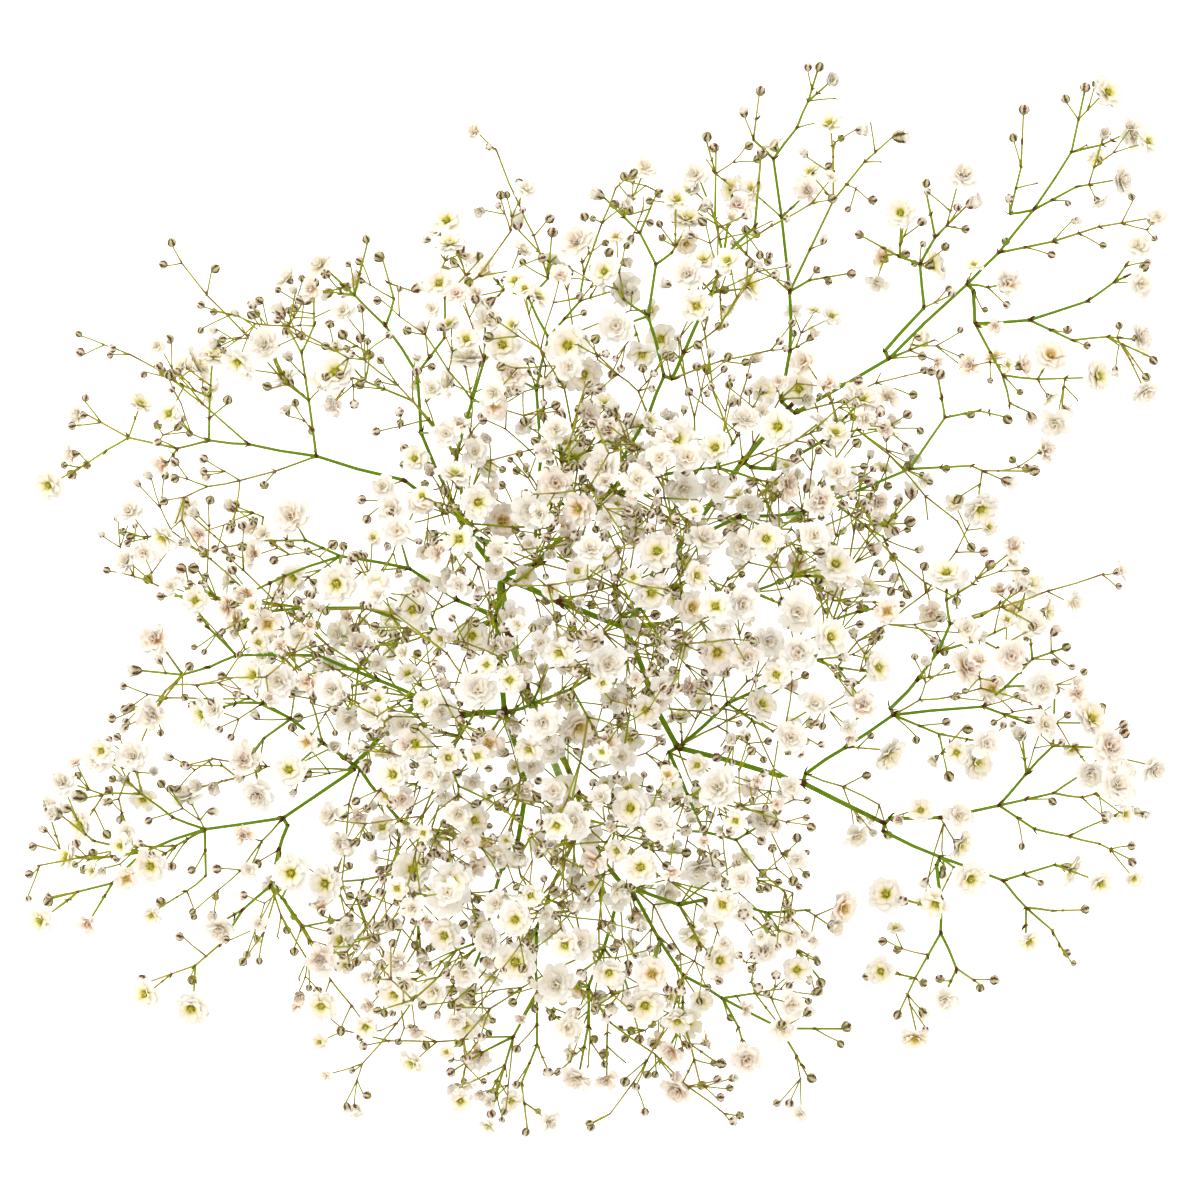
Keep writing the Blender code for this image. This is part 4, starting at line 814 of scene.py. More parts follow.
def seat_options(carrier: list[Stalk], plan: tuple) -> Iterator[tuple[Vec, Vec]]:
    """Roots for a spine beside its carrier: at the fork first, then back along it and round it.

    Args:
        carrier: The stalks of the carrier.
        plan: The spine's plan points.

    Returns:
        Each root with the way it leaves the carrier.
    """
    first = at = nearest_on(carrier, *plan[0])
    for back in SEAT_SLIDES:
        at = nearest_on(carrier, *plus(first.place, at.along, back))
        east, north = plan[1][0] - at.place[0], plan[1][1] - at.place[1]
        ahead = (east, north, SEAT_SLOPE * abs(east))
        out = unit(minus(ahead, tuple(v * dot(ahead, at.along) for v in at.along)))
        for angle in SEAT_TURNS:
            away = unit(turned(out, cross(at.along, out), angle))
            yield plus(at.place, away, at.radius + SEAT_GAP), away


def route(root: Vec, away: Optional[Vec], plan: tuple, tip_height: float, arch: float, bow: float,
          thick: float) -> list[Vec]:
    """Centre line of an axis through its plan, rising evenly with an arch.

    Args:
        root: Where it starts.
        away: Which way it leaves its carrier, or None.
        plan: Its plan points.
        tip_height: The height of its tip.
        arch: How much higher it arches.
        bow: How far it bows sideways.
        thick: Its radius at the root.

    Returns:
        The points of the line.
    """
    flat = [(root[0], root[1])] + list(plan[1:])
    run = [0.0]
    for i in range(1, len(flat)):
        east, north = flat[i][0] - flat[i - 1][0], flat[i][1] - flat[i - 1][1]
        run.append(run[-1] + math.sqrt(east * east + north * north))
    line = [root]
    if away is not None:
        line.append(plus(root, away, thick * SEAT_RISE))
    east, north = flat[-1][0] - flat[0][0], flat[-1][1] - flat[0][1]
    square = unit((-north, east, 0.0))
    for i in range(1, len(flat)):
        share = run[i] / run[-1]
        hump = HUMP_PEAK * share * (1.0 - share)
        height = root[2] + (tip_height - root[2]) * share + (arch + ARCH * run[-1]) * hump
        line.append((flat[i][0] + square[0] * bow * hump, flat[i][1] + square[1] * bow * hump,
                     max(height, LOWEST_AXIS)))
    return line


def taper(line: list[Vec], thick: float, thin: float) -> list[float]:
    """Radii along a centre line that thins evenly, a little swollen where it forks.

    Args:
        line: The centre line.
        thick: The radius at its root.
        thin: The radius at its tip.

    Returns:
        A radius for each point.
    """
    run = [0.0]
    for i in range(1, len(line)):
        run.append(run[-1] + length_of(minus(line[i], line[i - 1])))
    radii = [thick + (thin - thick) * r / run[-1] for r in run]
    return [r * NODE_SWELL if 0 < i < len(line) - 1 else r for i, r in enumerate(radii)]


def courses(roots: list[tuple]) -> Iterator[tuple]:
    """Ways to bend an axis clear, from the plainest on.

    Args:
        roots: The roots that it may have.

    Returns:
        Its arch, its bow, its rise and its root.
    """
    for rise in BENDS:
        for arch in BENDS:
            for bow in BOWS:
                for root in roots if rise == arch == bow == 0.0 else roots[:1]:
                    yield arch, bow, rise, root


def finish_stalk(line: list[Vec], radii: list[float], sides: int, kind: Head, size: float,
                 rng: random.Random) -> Stalk:
    """A stalk drawn back from the middle of its head.

    Args:
        line: Its centre line, up to the middle of the head.
        radii: Its radii.
        sides: How many sides it has.
        kind: What ends it.
        size: The radius of the head.
        rng: The draws.

    Returns:
        The stalk.
    """
    facing = face(rng, unit(minus(line[-1], line[-2])), kind)
    line = line[:-1] + [plus(line[-1], facing, -HEAD_BASE[kind] * size)]
    return Stalk(line, radii, sides, kind, size, facing)


def bloom_chance(place: Vec) -> float:
    """How likely an inner fork bears a bloom, which is likelier near the middle."""
    off = math.hypot(place[0] - DOME_MIDDLE[0], place[1] - DOME_MIDDLE[1])
    return INNER_BLOOMS + CENTRE_BLOOMS * max(0.0, 1.0 - off / CENTRE_REACH)


def fork_kinds(rng: random.Random, fork: Fork) -> tuple[Head, ...]:
    """What a fork bears: a pair at the end of an axis, and one here and there further down.

    Args:
        rng: The draws.
        fork: The fork.

    Returns:
        The kinds of head.
    """
    if fork.last:
        if rng.random() < END_BARE:
            return ()
        first = BLOOM if rng.random() < END_BLOOMS else CUP
        return (first, BUD) if rng.random() < END_BUDS else (first,)
    draw = rng.random()
    chance = bloom_chance(fork.place)
    if draw < chance:
        return (BLOOM,)
    if draw < chance + INNER_BUDS:
        return (BUD,)
    return ()


@dataclass(frozen=True)
class Shoot:
    """What is tried at a fork: its head, its length, its leans and its radii, and how it is tried."""

    kind: Head
    size: float
    long: float
    leans: tuple
    radii: tuple
    sides: int
    tries: int
    clearance: float


@dataclass
class Branch:
    """One node as it grows: its stalks so far, its draws, and the space that the whole plant shares."""

    name: str
    number: int
    space: Space
    rng: random.Random
    stalks: list = field(default_factory=list)

    def keep(self, stalk: Stalk) -> None:
        """Keep a stalk and take up its room."""
        self.stalks.append(stalk)
        self.space.add_stalk(stalk, self.number)

    def sprout(self, fork: Fork, shoot: Shoot) -> Optional[Stalk]:
        """Grow one stalk at a fork, tried in seeded directions until it is clear.

        Args:
            fork: Where it leaves.
            shoot: What is tried.

        Returns:
            The stalk, or None where no try was clear.
        """
        for attempt in range(shoot.tries):
            turn, lean = self.rng.uniform(0.0, math.tau), self.rng.uniform(*shoot.leans)
            reach = shoot.long if attempt < shoot.tries // 2 else shoot.long * SHORTER
            tip = plus(fork.place, fork.leaving(turn, lean), reach + shoot.size * HEAD_BASE[shoot.kind])
            if not in_dome(tip, max(shoot.size, LEAST_TIP)):
                continue
            stalk = finish_stalk([fork.place, tip], list(shoot.radii), shoot.sides, shoot.kind, shoot.size,
                                 self.rng)
            if self.space.clear_distance(stalk, self.number, self.number, JOINT_REACH) >= shoot.clearance:
                self.keep(stalk)
                return stalk
        return None


@dataclass
class Panicle:
    """The whole plant as stalks, grown in the same order and with the same draws as the solids."""

    space: Space = field(default_factory=Space)
    nodes: dict = field(default_factory=dict)

    def grow(self) -> None:
        """Grow the main stem, then every spray's axes, then every spray's pedicels."""
        for number, name in enumerate(["main_stem"] + [spray.name for spray in SPRAYS]):
            self.nodes[name] = Branch(name, number, self.space, random.Random(AXIS_SEED + number))
        for order, line in enumerate(MAIN_STEM):
            points = [tuple(float(v) for v in point) for point in line]
            thick, thin = (CROWN_RADIUS, CROWN_TIP_RADIUS) if order else (STEM_RADIUS, CROWN_RADIUS)
            stem = Stalk(points, taper(points, thick, thin), CROWN_SIDES if order else STEM_SIDES)
            self.nodes["main_stem"].keep(stem)
        for spray in SPRAYS:
            branch = self.nodes[spray.name]
            for spec in spray.axes:
                branch.keep(self.fit_axis(branch, self.nodes[spray.carrier], spec))
        for spray in SPRAYS:
            self.grow_pedicels(self.nodes[spray.name])

    def fit_axis(self, branch: Branch, carrier: Branch, spec: Axis) -> Stalk:
        """Fit one listed axis among what is placed already, by the plainest course that is clear.

        Args:
            branch: Its spray, whose first axis is its spine.
            carrier: The node that carries the spray.
            spec: The axis.

        Returns:
            The stalk with the widest gap, or the first that is clear.
        """
        spine = not branch.stalks
        kind = spec.ending
        size = head_size(branch.rng, kind)
        if spine:
            roots = list(seat_options(carrier.stalks, spec.plan))
            thick, thin, sides = AXIS_RADIUS, AXIS_TIP_RADIUS, AXIS_SIDES
        else:
            fork = nearest_on(branch.stalks, *spec.plan[0])
            roots = [(fork.place, None)]
            thick = max(PEDICEL_RADIUS, min(TWIG_RADIUS, fork.radius * TWIG_SHARE))
            thin, sides = PEDICEL_RADIUS, TWIG_SIDES
        tip_height = max(size * FLOOR_SHARE, spec.lift * (dome(*spec.plan[-1]) - size))
        best, best_gap = None, -FAR
        head_seed = branch.rng.getrandbits(HEAD_SEED_BITS)
        for arch, bow, rise, (root, away) in courses(roots):
            tip = max(size * FLOOR_SHARE, tip_height + rise)
            line = route(root, away, spec.plan, tip, arch, bow, thick)
            stalk = finish_stalk(line, taper(line, thick, thin), sides, kind, size, random.Random(head_seed))
            gap = self.space.clear_distance(stalk, branch.number, carrier.number, OWN_REACH)
            if gap > best_gap:
                best, best_gap = stalk, gap
            if gap >= CLEARANCE:
                break
        return best

    def grow_pedicels(self, branch: Branch) -> None:
        """Grow the pedicels that leave the axes of one spray.

        Args:
            branch: The spray.
        """
        branch.rng = random.Random(PEDICEL_SEED + branch.number)
        for stalk in list(branch.stalks):
            for fork in stalk.forks():
                thick = min(PEDICEL_RADIUS, fork.radius * TWIG_SHARE)
                for kind in fork_kinds(branch.rng, fork):
                    size, long = head_size(branch.rng, kind), branch.rng.uniform(*PEDICEL_LENGTHS)
                    branch.sprout(fork, Shoot(kind, size, long, PEDICEL_LEANS, (thick, thick), TWIG_SIDES,
                                              PEDICEL_TRIES, CLEARANCE))


@dataclass(frozen=True)
class Twigs:
    """The finer growth that the solids leave out: side twigs that fork again, mostly with buds."""

    seed: int = 70000
    radius: float = 0.24
    thin_radius: float = 0.2
    lengths: tuple = (4.0, 8.5)
    joint_lengths: tuple = (4.0, 8.5)
    middle_lengths: tuple = (7.0, 16.0)
    leans: tuple = (0.45, 1.15)
    ahead_leans: tuple = (0.08, 0.4)
    tries: int = 18
    clearance: float = 0.18
    least_run: float = 5.0
    node_back: tuple = (3.5, 7.5)
    most_back: float = 0.6
    long_run: float = 11.0
    mid_run: tuple = (0.4, 0.6)
    pair_share: float = 0.16
    single_share: float = 0.36
    fork_share: float = 0.42
    again_share: float = 0.18
    middle_again_share: float = 0.75
    stout_radius: float = 0.5
    runner_share: float = 0.8
    runner_joints: tuple = (2, 3, 4)
    runner_twigs: tuple = (1, 2)
    end_counts: tuple = (2, 3, 3)
    runner_lengths: tuple = (8.0, 16.0)
    runner_radius: float = 0.34
    runner_taper: float = 0.9
    middle_twigs: tuple = (0.8, 3.6)
    cup_share: float = 0.11
    bloom_share: float = 0.2
    middle_bloom_share: float = 0.33
    middle_core: float = 42.0
    middle_reach: float = 118.0
    bud_radii: tuple = (0.9, 1.4)
    cup_radii: tuple = (1.6, 2.5)
    bloom_radii: tuple = (2.1, 4.1)
    stub_share: float = 0.08

    def grow(self, plant: Panicle) -> int:
        """Add the twigs to every spray, and to the crown.

        Args:
            plant: The plant.

        Returns:
            How many stalks were added.
        """
        added = 0
        for branch in plant.nodes.values():
            branch.rng = random.Random(self.seed + branch.number)
            before = len(branch.stalks)
            for order, stalk in enumerate(list(branch.stalks)):
                if branch.number or order:
                    self.clothe(branch, stalk)
            added += len(branch.stalks) - before
        return added

    def middle_share(self, place: Vec) -> float:
        """How near a place is to the middle of the plan: 1 inside the core, 0 at the reach and past it."""
        off = math.hypot(place[0] - DOME_MIDDLE[0], place[1] - DOME_MIDDLE[1])
        return min(1.0, max(0.0, (self.middle_reach - off) / (self.middle_reach - self.middle_core)))

    def clothe(self, branch: Branch, stalk: Stalk) -> None:
        """Grow the twigs of one stalk: at its forks, along its long runs and below its head.

        Args:
            branch: Its node.
            stalk: The stalk.
        """
        rng = branch.rng
        for fork in stalk.inner_forks():
            near = self.middle_share(fork.place)
            if rng.random() < self.runner_share * near:
                self.runner(branch, fork)
            for _ in range(1 + int(near * rng.uniform(*self.middle_twigs))):
                if rng.random() < self.fork_share:
                    self.twig(branch, fork, 2)
        for i in range(len(stalk.line) - 1):
            long = length_of(stalk.run(i))
            last = i == len(stalk.line) - 2
            if last and stalk.head != CUT and long > self.least_run:
                back = min(rng.uniform(*self.node_back), long * self.most_back)
                share = 1.0 - (END_FORK if long > END_FORK + JOINT_REACH else back) / long
                stalk.joints.append((i, share))
                self.joint(branch, stalk.on_run(i, share))
            elif long > self.long_run and stalk.radii[i] < self.stout_radius:
                share = rng.uniform(*self.mid_run)
                stalk.joints.append((i, share))
                self.twig(branch, stalk.on_run(i, share), 2)

    def runner(self, branch: Branch, fork: Fork) -> None:
        """A long thin side axis that bends at every joint, with twigs there and at its end.

        Args:
            branch: Its node.
            fork: Where it leaves.
        """
        leans, fork = self.leans, replace(fork, radius=self.runner_radius)
        for left in range(branch.rng.choice(self.runner_joints), 0, -1):
            step = self.sprout(branch, fork, CUT, leans, self.runner_lengths, self.runner_radius)
            if not step:
                return
            leans, fork = self.ahead_leans, step.tip()
            for _ in range(branch.rng.choice(self.runner_twigs) + (left == 1)):
                self.twig(branch, fork, 1)

    def joint(self, branch: Branch, fork: Fork) -> None:
        """Grow none, one or two side twigs at a joint below a head.

        Args:
            branch: Its node.
            fork: The joint.
        """
        draw = branch.rng.random()
        for share in (self.pair_share, self.pair_share + self.single_share):
            if draw < share:
                self.twig(branch, fork, 1)

    def twig(self, branch: Branch, fork: Fork, depth: int) -> None:
        """One side twig, which bears a head or forks again.

        Args:
            branch: Its node.
            fork: Where it leaves.
            depth: How many times more it may fork.
        """
        rng, near = branch.rng, self.middle_share(fork.place)
        again = self.again_share + (self.middle_again_share - self.again_share) * near
        if depth > 0 and rng.random() < again:
            lengths = self.middle_lengths if rng.random() < near else self.joint_lengths
            first = self.sprout(branch, fork, CUT, self.leans, lengths)
            if not first:
                return
            for order in range(rng.choice(self.end_counts)):
                if order and rng.random() < near:
                    self.twig(branch, first.tip(), depth - 1)
                    continue
                leans = self.leans if order else self.ahead_leans
                self.sprout(branch, first.tip(), self.kind(rng, near), leans, self.lengths)
            return
        kind = CUT if rng.random() < self.stub_share else self.kind(rng, near)
        self.sprout(branch, fork, kind, self.leans, self.lengths)

    def kind(self, rng: random.Random, near: float) -> Head:
        """What a twig bears: likelier a bloom near the middle.

        Args:
            rng: The draws.
            near: How near the middle it is, from 0 to 1.

        Returns:
            The kind of head.
        """
        draw = rng.random()
        bloom = self.bloom_share + (self.middle_bloom_share - self.bloom_share) * near
        if draw < bloom:
            return BLOOM
        return CUP if draw < bloom + self.cup_share else BUD

    def sprout(self, branch: Branch, fork: Fork, kind: Head, leans: tuple, lengths: tuple,
               most: Optional[float] = None) -> Optional[Stalk]:
        """Grow a twig at a fork where there is room.

        Args:
            branch: Its node.
            fork: Where it leaves.
            kind: What it bears.
            leans: The least and most angle from the carrier.
            lengths: The least and most length.
            most: The radius at its root, where it isn't a twig's.

        Returns:
            The twig, or None where there is no room.
        """
        rng = branch.rng
        size = {BLOOM: rng.uniform(*self.bloom_radii), CUP: rng.uniform(*self.cup_radii),
                BUD: rng.uniform(*self.bud_radii), CUT: 0.0}[kind]
        thick = min(most or self.radius, fork.radius)
        thin = thick * self.runner_taper if most else min(thick, self.thin_radius)
        return branch.sprout(fork, Shoot(kind, size, rng.uniform(*lengths), leans, (thick, thin), FINE_SIDES,
                                         self.tries, self.clearance))


@dataclass(frozen=True)
class Form:
    """A small closed mesh, with a tone (four numbers) and a grain (three) for the finish at each point."""

    points: np.ndarray
    corners: np.ndarray
    sizes: np.ndarray
    tone: np.ndarray
    grain: np.ndarray

    def moved(self, middle: Vec, across: Vec, up: Vec, scale: tuple,
              tone: Optional[np.ndarray] = None) -> "Form":
        """The form set at a place, turned and scaled.

        Args:
            middle: Where its origin goes.
            across: Where its x axis points.
            up: Where its z axis points, square to across.
            scale: Its scale along its own x, y and z.
            tone: New tones, or None to keep its own.

        Returns:
            The new form.
        """
        turn = np.array([across, cross(up, across), up])
        points = (self.points * np.array(scale)) @ turn + np.array(middle)
        return replace(self, points=points, tone=self.tone if tone is None else tone)


def joined(forms: Sequence[Form]) -> Form:
    """Put several forms together.

    Args:
        forms: The forms.

    Returns:
        One form.
    """
    starts = np.cumsum([0] + [len(form.points) for form in forms[:-1]])
    return Form(
        np.concatenate([form.points for form in forms]),
        np.concatenate([form.corners + start for form, start in zip(forms, starts)]),
        np.concatenate([form.sizes for form in forms]),
        np.concatenate([form.tone for form in forms]),
        np.concatenate([form.grain for form in forms]),
    )


def quads_between(rings: int, count: int) -> np.ndarray:
    """The corners of the quads between rings of points.

    Args:
        rings: How many rings there are.
        count: Points in a ring.

    Returns:
        Four corners a quad.
    """
    ring, step = np.meshgrid(np.arange(rings - 1), np.arange(count), indexing="ij")
    after = (step + 1) % count
    quads = np.stack([ring * count + step, ring * count + after, (ring + 1) * count + after,
                      (ring + 1) * count + step], axis=-1)
    return quads.reshape(-1, 4)


def skin(rings: np.ndarray, tone: np.ndarray, grain: np.ndarray) -> Form:
    """A closed form over rings of points.

    Args:
        rings: Points, by ring and place, turning leftwards round the way the rings go.
        tone: Tones in the same order.
        grain: Grains in the same order.

    Returns:
        The form, with a cap at each end.
    """
    count, around = rings.shape[:2]
    quads = quads_between(count, around)
    base = np.arange(around)[::-1]
    tip = np.arange(around) + (count - 1) * around
    corners = np.concatenate([quads.ravel(), base, tip])
    sizes = np.concatenate([np.full(len(quads), 4), [around, around]])
    return Form(rings.reshape(-1, 3), corners, sizes, tone.reshape(-1, 4), grain.reshape(-1, 3))


def sheet_corners(rows: int, columns: int) -> np.ndarray:
    """The corners of the quads of a closed sheet whose two faces meet at its rim.

    Args:
        rows: Rows of points along it.
        columns: Points across it.

    Returns:
        Four corners a quad: the upper face over all the points, and the lower face, which has inner points
        of its own after them.
    """
    upper = np.arange(rows * columns).reshape(rows, columns)
    lower = upper.copy()
    lower[1:-1, 1:-1] = rows * columns + np.arange((rows - 2) * (columns - 2)).reshape(rows - 2, columns - 2)
    faces = []
    for grid, flip in ((upper, 1), (lower, -1)):
        quads = np.stack([grid[:-1, :-1], grid[1:, :-1], grid[1:, 1:], grid[:-1, 1:]], axis=-1).reshape(-1, 4)
        faces.append(quads[:, ::flip])
    return np.concatenate(faces)


FINE_ROWS = (0.0, 0.3, 0.58, 0.82, 1.0)
PLAIN_ROWS = (0.0, 0.4, 0.74, 1.0)


@dataclass(frozen=True)
class Petal:
    """One petal in shares of the bloom's radius: a claw that widens to a round, notched and ruffled tip."""

    long: float
    wide: float
    rise: float
    spread: float
    ruffle: float
    phase: float
    notch: float = 0.1
    cup: float = 0.10
    thick: float = 0.03
    rows: tuple = FINE_ROWS
    columns: int = 4
    claw: float = 0.16
    round_off: float = 0.26
    waves: float = 3.6
    frill: float = 0.11
    bend_power: float = 0.8
    widening: float = 1.15
    flare: float = 1.4
    tip_start: float = 0.8
    tip_narrowing: float = 0.3
    edge_power: int = 3
    ruffle_power: float = 1.4

    def form(self, rng: random.Random, seat: tuple[float, float], turn: float, green: float,
             deep_painted_shade: float) -> Form:
        """The petal as a thin closed sheet.

        Args:
            rng: Draws for its own shade and the frill of its tip.
            seat: How far out and how high its claw starts.
            turn: The angle round the bloom's axis.
            green: How much its claw shows green.
            deep_painted_shade: Where its whorl lies in the bloom, 0 for the outer one and 1 for the inner
                one; it sets how much painted shade its petals carry.

        Returns:
            The form.
        """
        v = np.array(self.rows)
        u = np.linspace(-1.0, 1.0, self.columns)
        # Each petal's own random draw, plus painted shade that grows towards the inner whorls.
        tint_and_painted_shade = rng.random() * (1.0 - DEEP_PAINTED_SHADE_SHARE) + deep_painted_shade * DEEP_PAINTED_SHADE_SHARE
        frill = np.array([rng.uniform(-self.frill, self.frill) for _ in u])
        angle = self.rise + (self.spread - self.rise) * v ** self.bend_power
        step = np.diff(v, prepend=0.0) * self.long
        out = seat[0] + np.cumsum(step * np.cos(angle))
        high = seat[1] + np.cumsum(step * np.sin(angle))
        opened = np.sin(np.minimum(v * self.widening, 1.0) * math.pi / 2) ** self.flare
        closing = np.clip(v - self.tip_start, 0.0, 1.0) / (1.0 - self.tip_start)
        half = self.wide * (self.claw + (1.0 - self.claw) * opened) * (1.0 - self.tip_narrowing * closing)
        mesh_v, mesh_u = np.meshgrid(v, u, indexing="ij")
        edge = self.round_off * self.wide * np.abs(mesh_u) ** self.edge_power
        back = mesh_v ** self.edge_power * (self.notch * (1.0 - np.abs(mesh_u)) + edge + frill)
        wave = self.ruffle * mesh_v ** self.ruffle_power * np.sin(mesh_u * self.waves + self.phase)
        lift = self.cup * mesh_u ** 2 * self.wide * 2.0 * mesh_v + wave
        along_x, along_z = np.cos(angle)[:, None], np.sin(angle)[:, None]
        x = out[:, None] - back * along_x - lift * along_z
        z = high[:, None] - back * along_z + lift * along_x
        middle = np.stack([x, mesh_u * half[:, None], z], axis=-1)
        square = np.cross(np.gradient(middle, axis=0), np.gradient(middle, axis=1))
        square *= self.thick / 2 / (np.linalg.norm(square, axis=-1, keepdims=True) + LEAST_SQUARE)
        inner = (slice(1, -1), slice(1, -1))
        upper, lower = middle.copy(), (middle - square)[inner]
        upper[inner] += square[inner]
        cos, sin = math.cos(turn), math.sin(turn)
        points = np.concatenate([upper.reshape(-1, 3), lower.reshape(-1, 3)])
        points = points @ np.array([[cos, sin, 0.0], [-sin, cos, 0.0], [0.0, 0.0, 1.0]])
        flat = np.zeros_like(mesh_v)
        tone = np.stack([mesh_v, flat, flat + tint_and_painted_shade, flat + green * GREEN_CLAW], axis=-1)
        grain = np.stack([mesh_u, mesh_v, flat + tint_and_painted_shade], axis=-1)
        corners = sheet_corners(len(v), self.columns)
        return Form(points, corners.ravel(), np.full(len(corners), 4), both_faces(tone), both_faces(grain))


def both_faces(values: np.ndarray) -> np.ndarray:
    """Values of a sheet's points, for its upper face and then for its lower one's inner points."""
    width = values.shape[-1]
    return np.concatenate([values.reshape(-1, width), values[1:-1, 1:-1].reshape(-1, width)])


@dataclass(frozen=True)
class Whorl:
    """One ring of petals: how many, their length and width, and how they rise and spread."""

    count: int
    long: float
    wide: float
    rise: float
    spread: float
    seat: tuple
    ruffle: float
    rows: tuple = PLAIN_ROWS


@dataclass(frozen=True)
class BloomKind:
    """A kind of open head: its whorls, how uneven they are, and how much of a green throat it shows."""

    whorls: tuple
    uneven: float
    throat: float
    long_spread: tuple = (-0.9, 0.6)
    even_spread: tuple = (-1.0, 1.0)
    rise_spread: tuple = (-0.8, 0.8)
    spread_spread: tuple = (-2.0, 2.0)
    ruffles: tuple = (0.5, 1.3)
    notches: tuple = (0.0, 0.13)
    cups: tuple = (-0.1, 0.32)
    seat_spread: tuple = (-0.03, 0.03)
    fewer: int = 2
    wider: float = 1.15

    def form(self, seed: int) -> Form:
        """One seeded variant of the bloom, one millimetre in radius, round its own z axis.

        Args:
            seed: The variant.

        Returns:
            All its petals and its throat.
        """
        rng = random.Random(seed)
        forms = []
        for order, whorl in enumerate(self.whorls):
            first = rng.uniform(0.0, math.tau)
            # The whorl's place from outer to inner, which sets its petals' painted shade.
            deep_painted_shade = order / (len(self.whorls) - 1)
            for k in range(whorl.count):
                petal = Petal(
                    long=whorl.long * (1.0 + rng.uniform(*self.long_spread) * self.uneven),
                    wide=whorl.wide * (1.0 + rng.uniform(*self.even_spread) * self.uneven),
                    rise=whorl.rise + rng.uniform(*self.rise_spread) * self.uneven,
                    spread=whorl.spread + rng.uniform(*self.spread_spread) * self.uneven,
                    ruffle=whorl.ruffle * rng.uniform(*self.ruffles),
                    phase=rng.uniform(0.0, math.tau),
                    notch=rng.uniform(*self.notches) * whorl.long,
                    cup=rng.uniform(*self.cups),
                    rows=whorl.rows,
                )
                turn = first + math.tau * (k + rng.uniform(*self.even_spread) * self.uneven) / whorl.count
                seat = (whorl.seat[0], whorl.seat[1] + rng.uniform(*self.seat_spread))
                forms.append(petal.form(rng, seat, turn, self.throat, deep_painted_shade))
        if self.throat > LEAST_THROAT:
            forms.append(Core(self.throat).form(rng))
        return joined(forms)

    def plainer(self) -> "BloomKind":
        """The same kind with fewer petals, for small blooms.

        Returns:
            The plainer kind.
        """
        fewer = tuple(replace(whorl, count=whorl.count - self.fewer, wide=whorl.wide * self.wider,
                              rows=PLAIN_ROWS) for whorl in self.whorls)
        return replace(self, whorls=fewer)


@dataclass(frozen=True)
class Core:
    """The green heart of a bloom's throat with its stamens."""

    throat: float
    radii: tuple = (0.1, 0.17, 0.13, 0.05)
    heights: tuple = (-0.2, -0.05, 0.06, 0.12)
    around: int = 6
    stamens: int = 4
    stray: tuple = (-0.4, 0.4)
    leans: tuple = (0.05, 0.22)
    lengths: tuple = (0.2, 0.4)
    foot_radius: float = 0.07
    foot_height: float = 0.05
    thread: float = 0.018
    grain: float = 0.04
    thread_tone: float = 0.25
    grain_tone: float = 0.5

    def form(self, rng: random.Random) -> Form:
        """The heart and its stamens.

        Args:
            rng: Draws for their shades and the lean of each stamen.

        Returns:
            The form.
        """
        forms = [lathe(self.radii, self.heights, self.around, (0.0, 0.0, rng.random(), 1.0))]
        for k in range(self.stamens):
            angle = math.tau * (k + rng.uniform(*self.stray)) / self.stamens
            lean = rng.uniform(*self.leans) * self.throat
            out = np.array([math.cos(angle), math.sin(angle), 0.0])
            foot = out * self.foot_radius + np.array([0.0, 0.0, self.foot_height])
            tip = foot + out * lean + np.array([0.0, 0.0, rng.uniform(*self.lengths)])
            forms.append(filament(foot, tip, self.thread, (self.thread_tone, 0.0, rng.random(), 1.0)))
            forms.append(anther(tip, self.grain, (self.grain_tone, 0.0, rng.random(), 1.0)))
        return joined(forms)


# How much a stamen's thread thins, and how its grain narrows below and above.
THREAD_TAPER = 0.7
GRAIN_ENDS = (0.5, 0.4)


def lathe(radii: Sequence[float], heights: Sequence[float], around: int, tone: tuple) -> Form:
    """A round form about the z axis, of one tone.

    Args:
        radii: The radii of its rings.
        heights: Their heights.
        around: Points in a ring.
        tone: Its tone.

    Returns:
        The form.
    """
    turns = np.arange(around) * math.tau / around
    rings = np.array([[(r * math.cos(t), r * math.sin(t), z) for t in turns] for r, z in zip(radii, heights)])
    shape = rings.shape[:2]
    grain = np.stack(np.meshgrid(heights, turns, indexing="ij") + [np.zeros(shape)], axis=-1)
    return skin(rings, np.broadcast_to(np.array(tone), shape + (4,)), grain)


def filament(foot: np.ndarray, tip: np.ndarray, radius: float, tone: tuple) -> Form:
    """A thread of three sides.

    Args:
        foot: Where it starts.
        tip: Where it ends.
        radius: Its radius.
        tone: Its tone.

    Returns:
        The form.
    """
    run = tip - foot
    direction = tuple(run / np.linalg.norm(run))
    side = side_of(direction)
    form = lathe((radius, radius * THREAD_TAPER), (0.0, float(np.linalg.norm(run))), 3, tone)
    return form.moved(tuple(foot), side, direction, (1.0, 1.0, 1.0))


def anther(middle: np.ndarray, radius: float, tone: tuple) -> Form:
    """A tiny grain of four sides.

    Args:
        middle: Its middle.
        radius: Its radius.
        tone: Its tone.

    Returns:
        The form.
    """
    below, above = GRAIN_ENDS
    form = lathe((radius * below, radius, radius * above), (-radius, 0.0, radius), 4, tone)
    return form.moved(tuple(middle), (1.0, 0.0, 0.0), (0.0, 0.0, 1.0), (1.0, 1.0, 1.0))


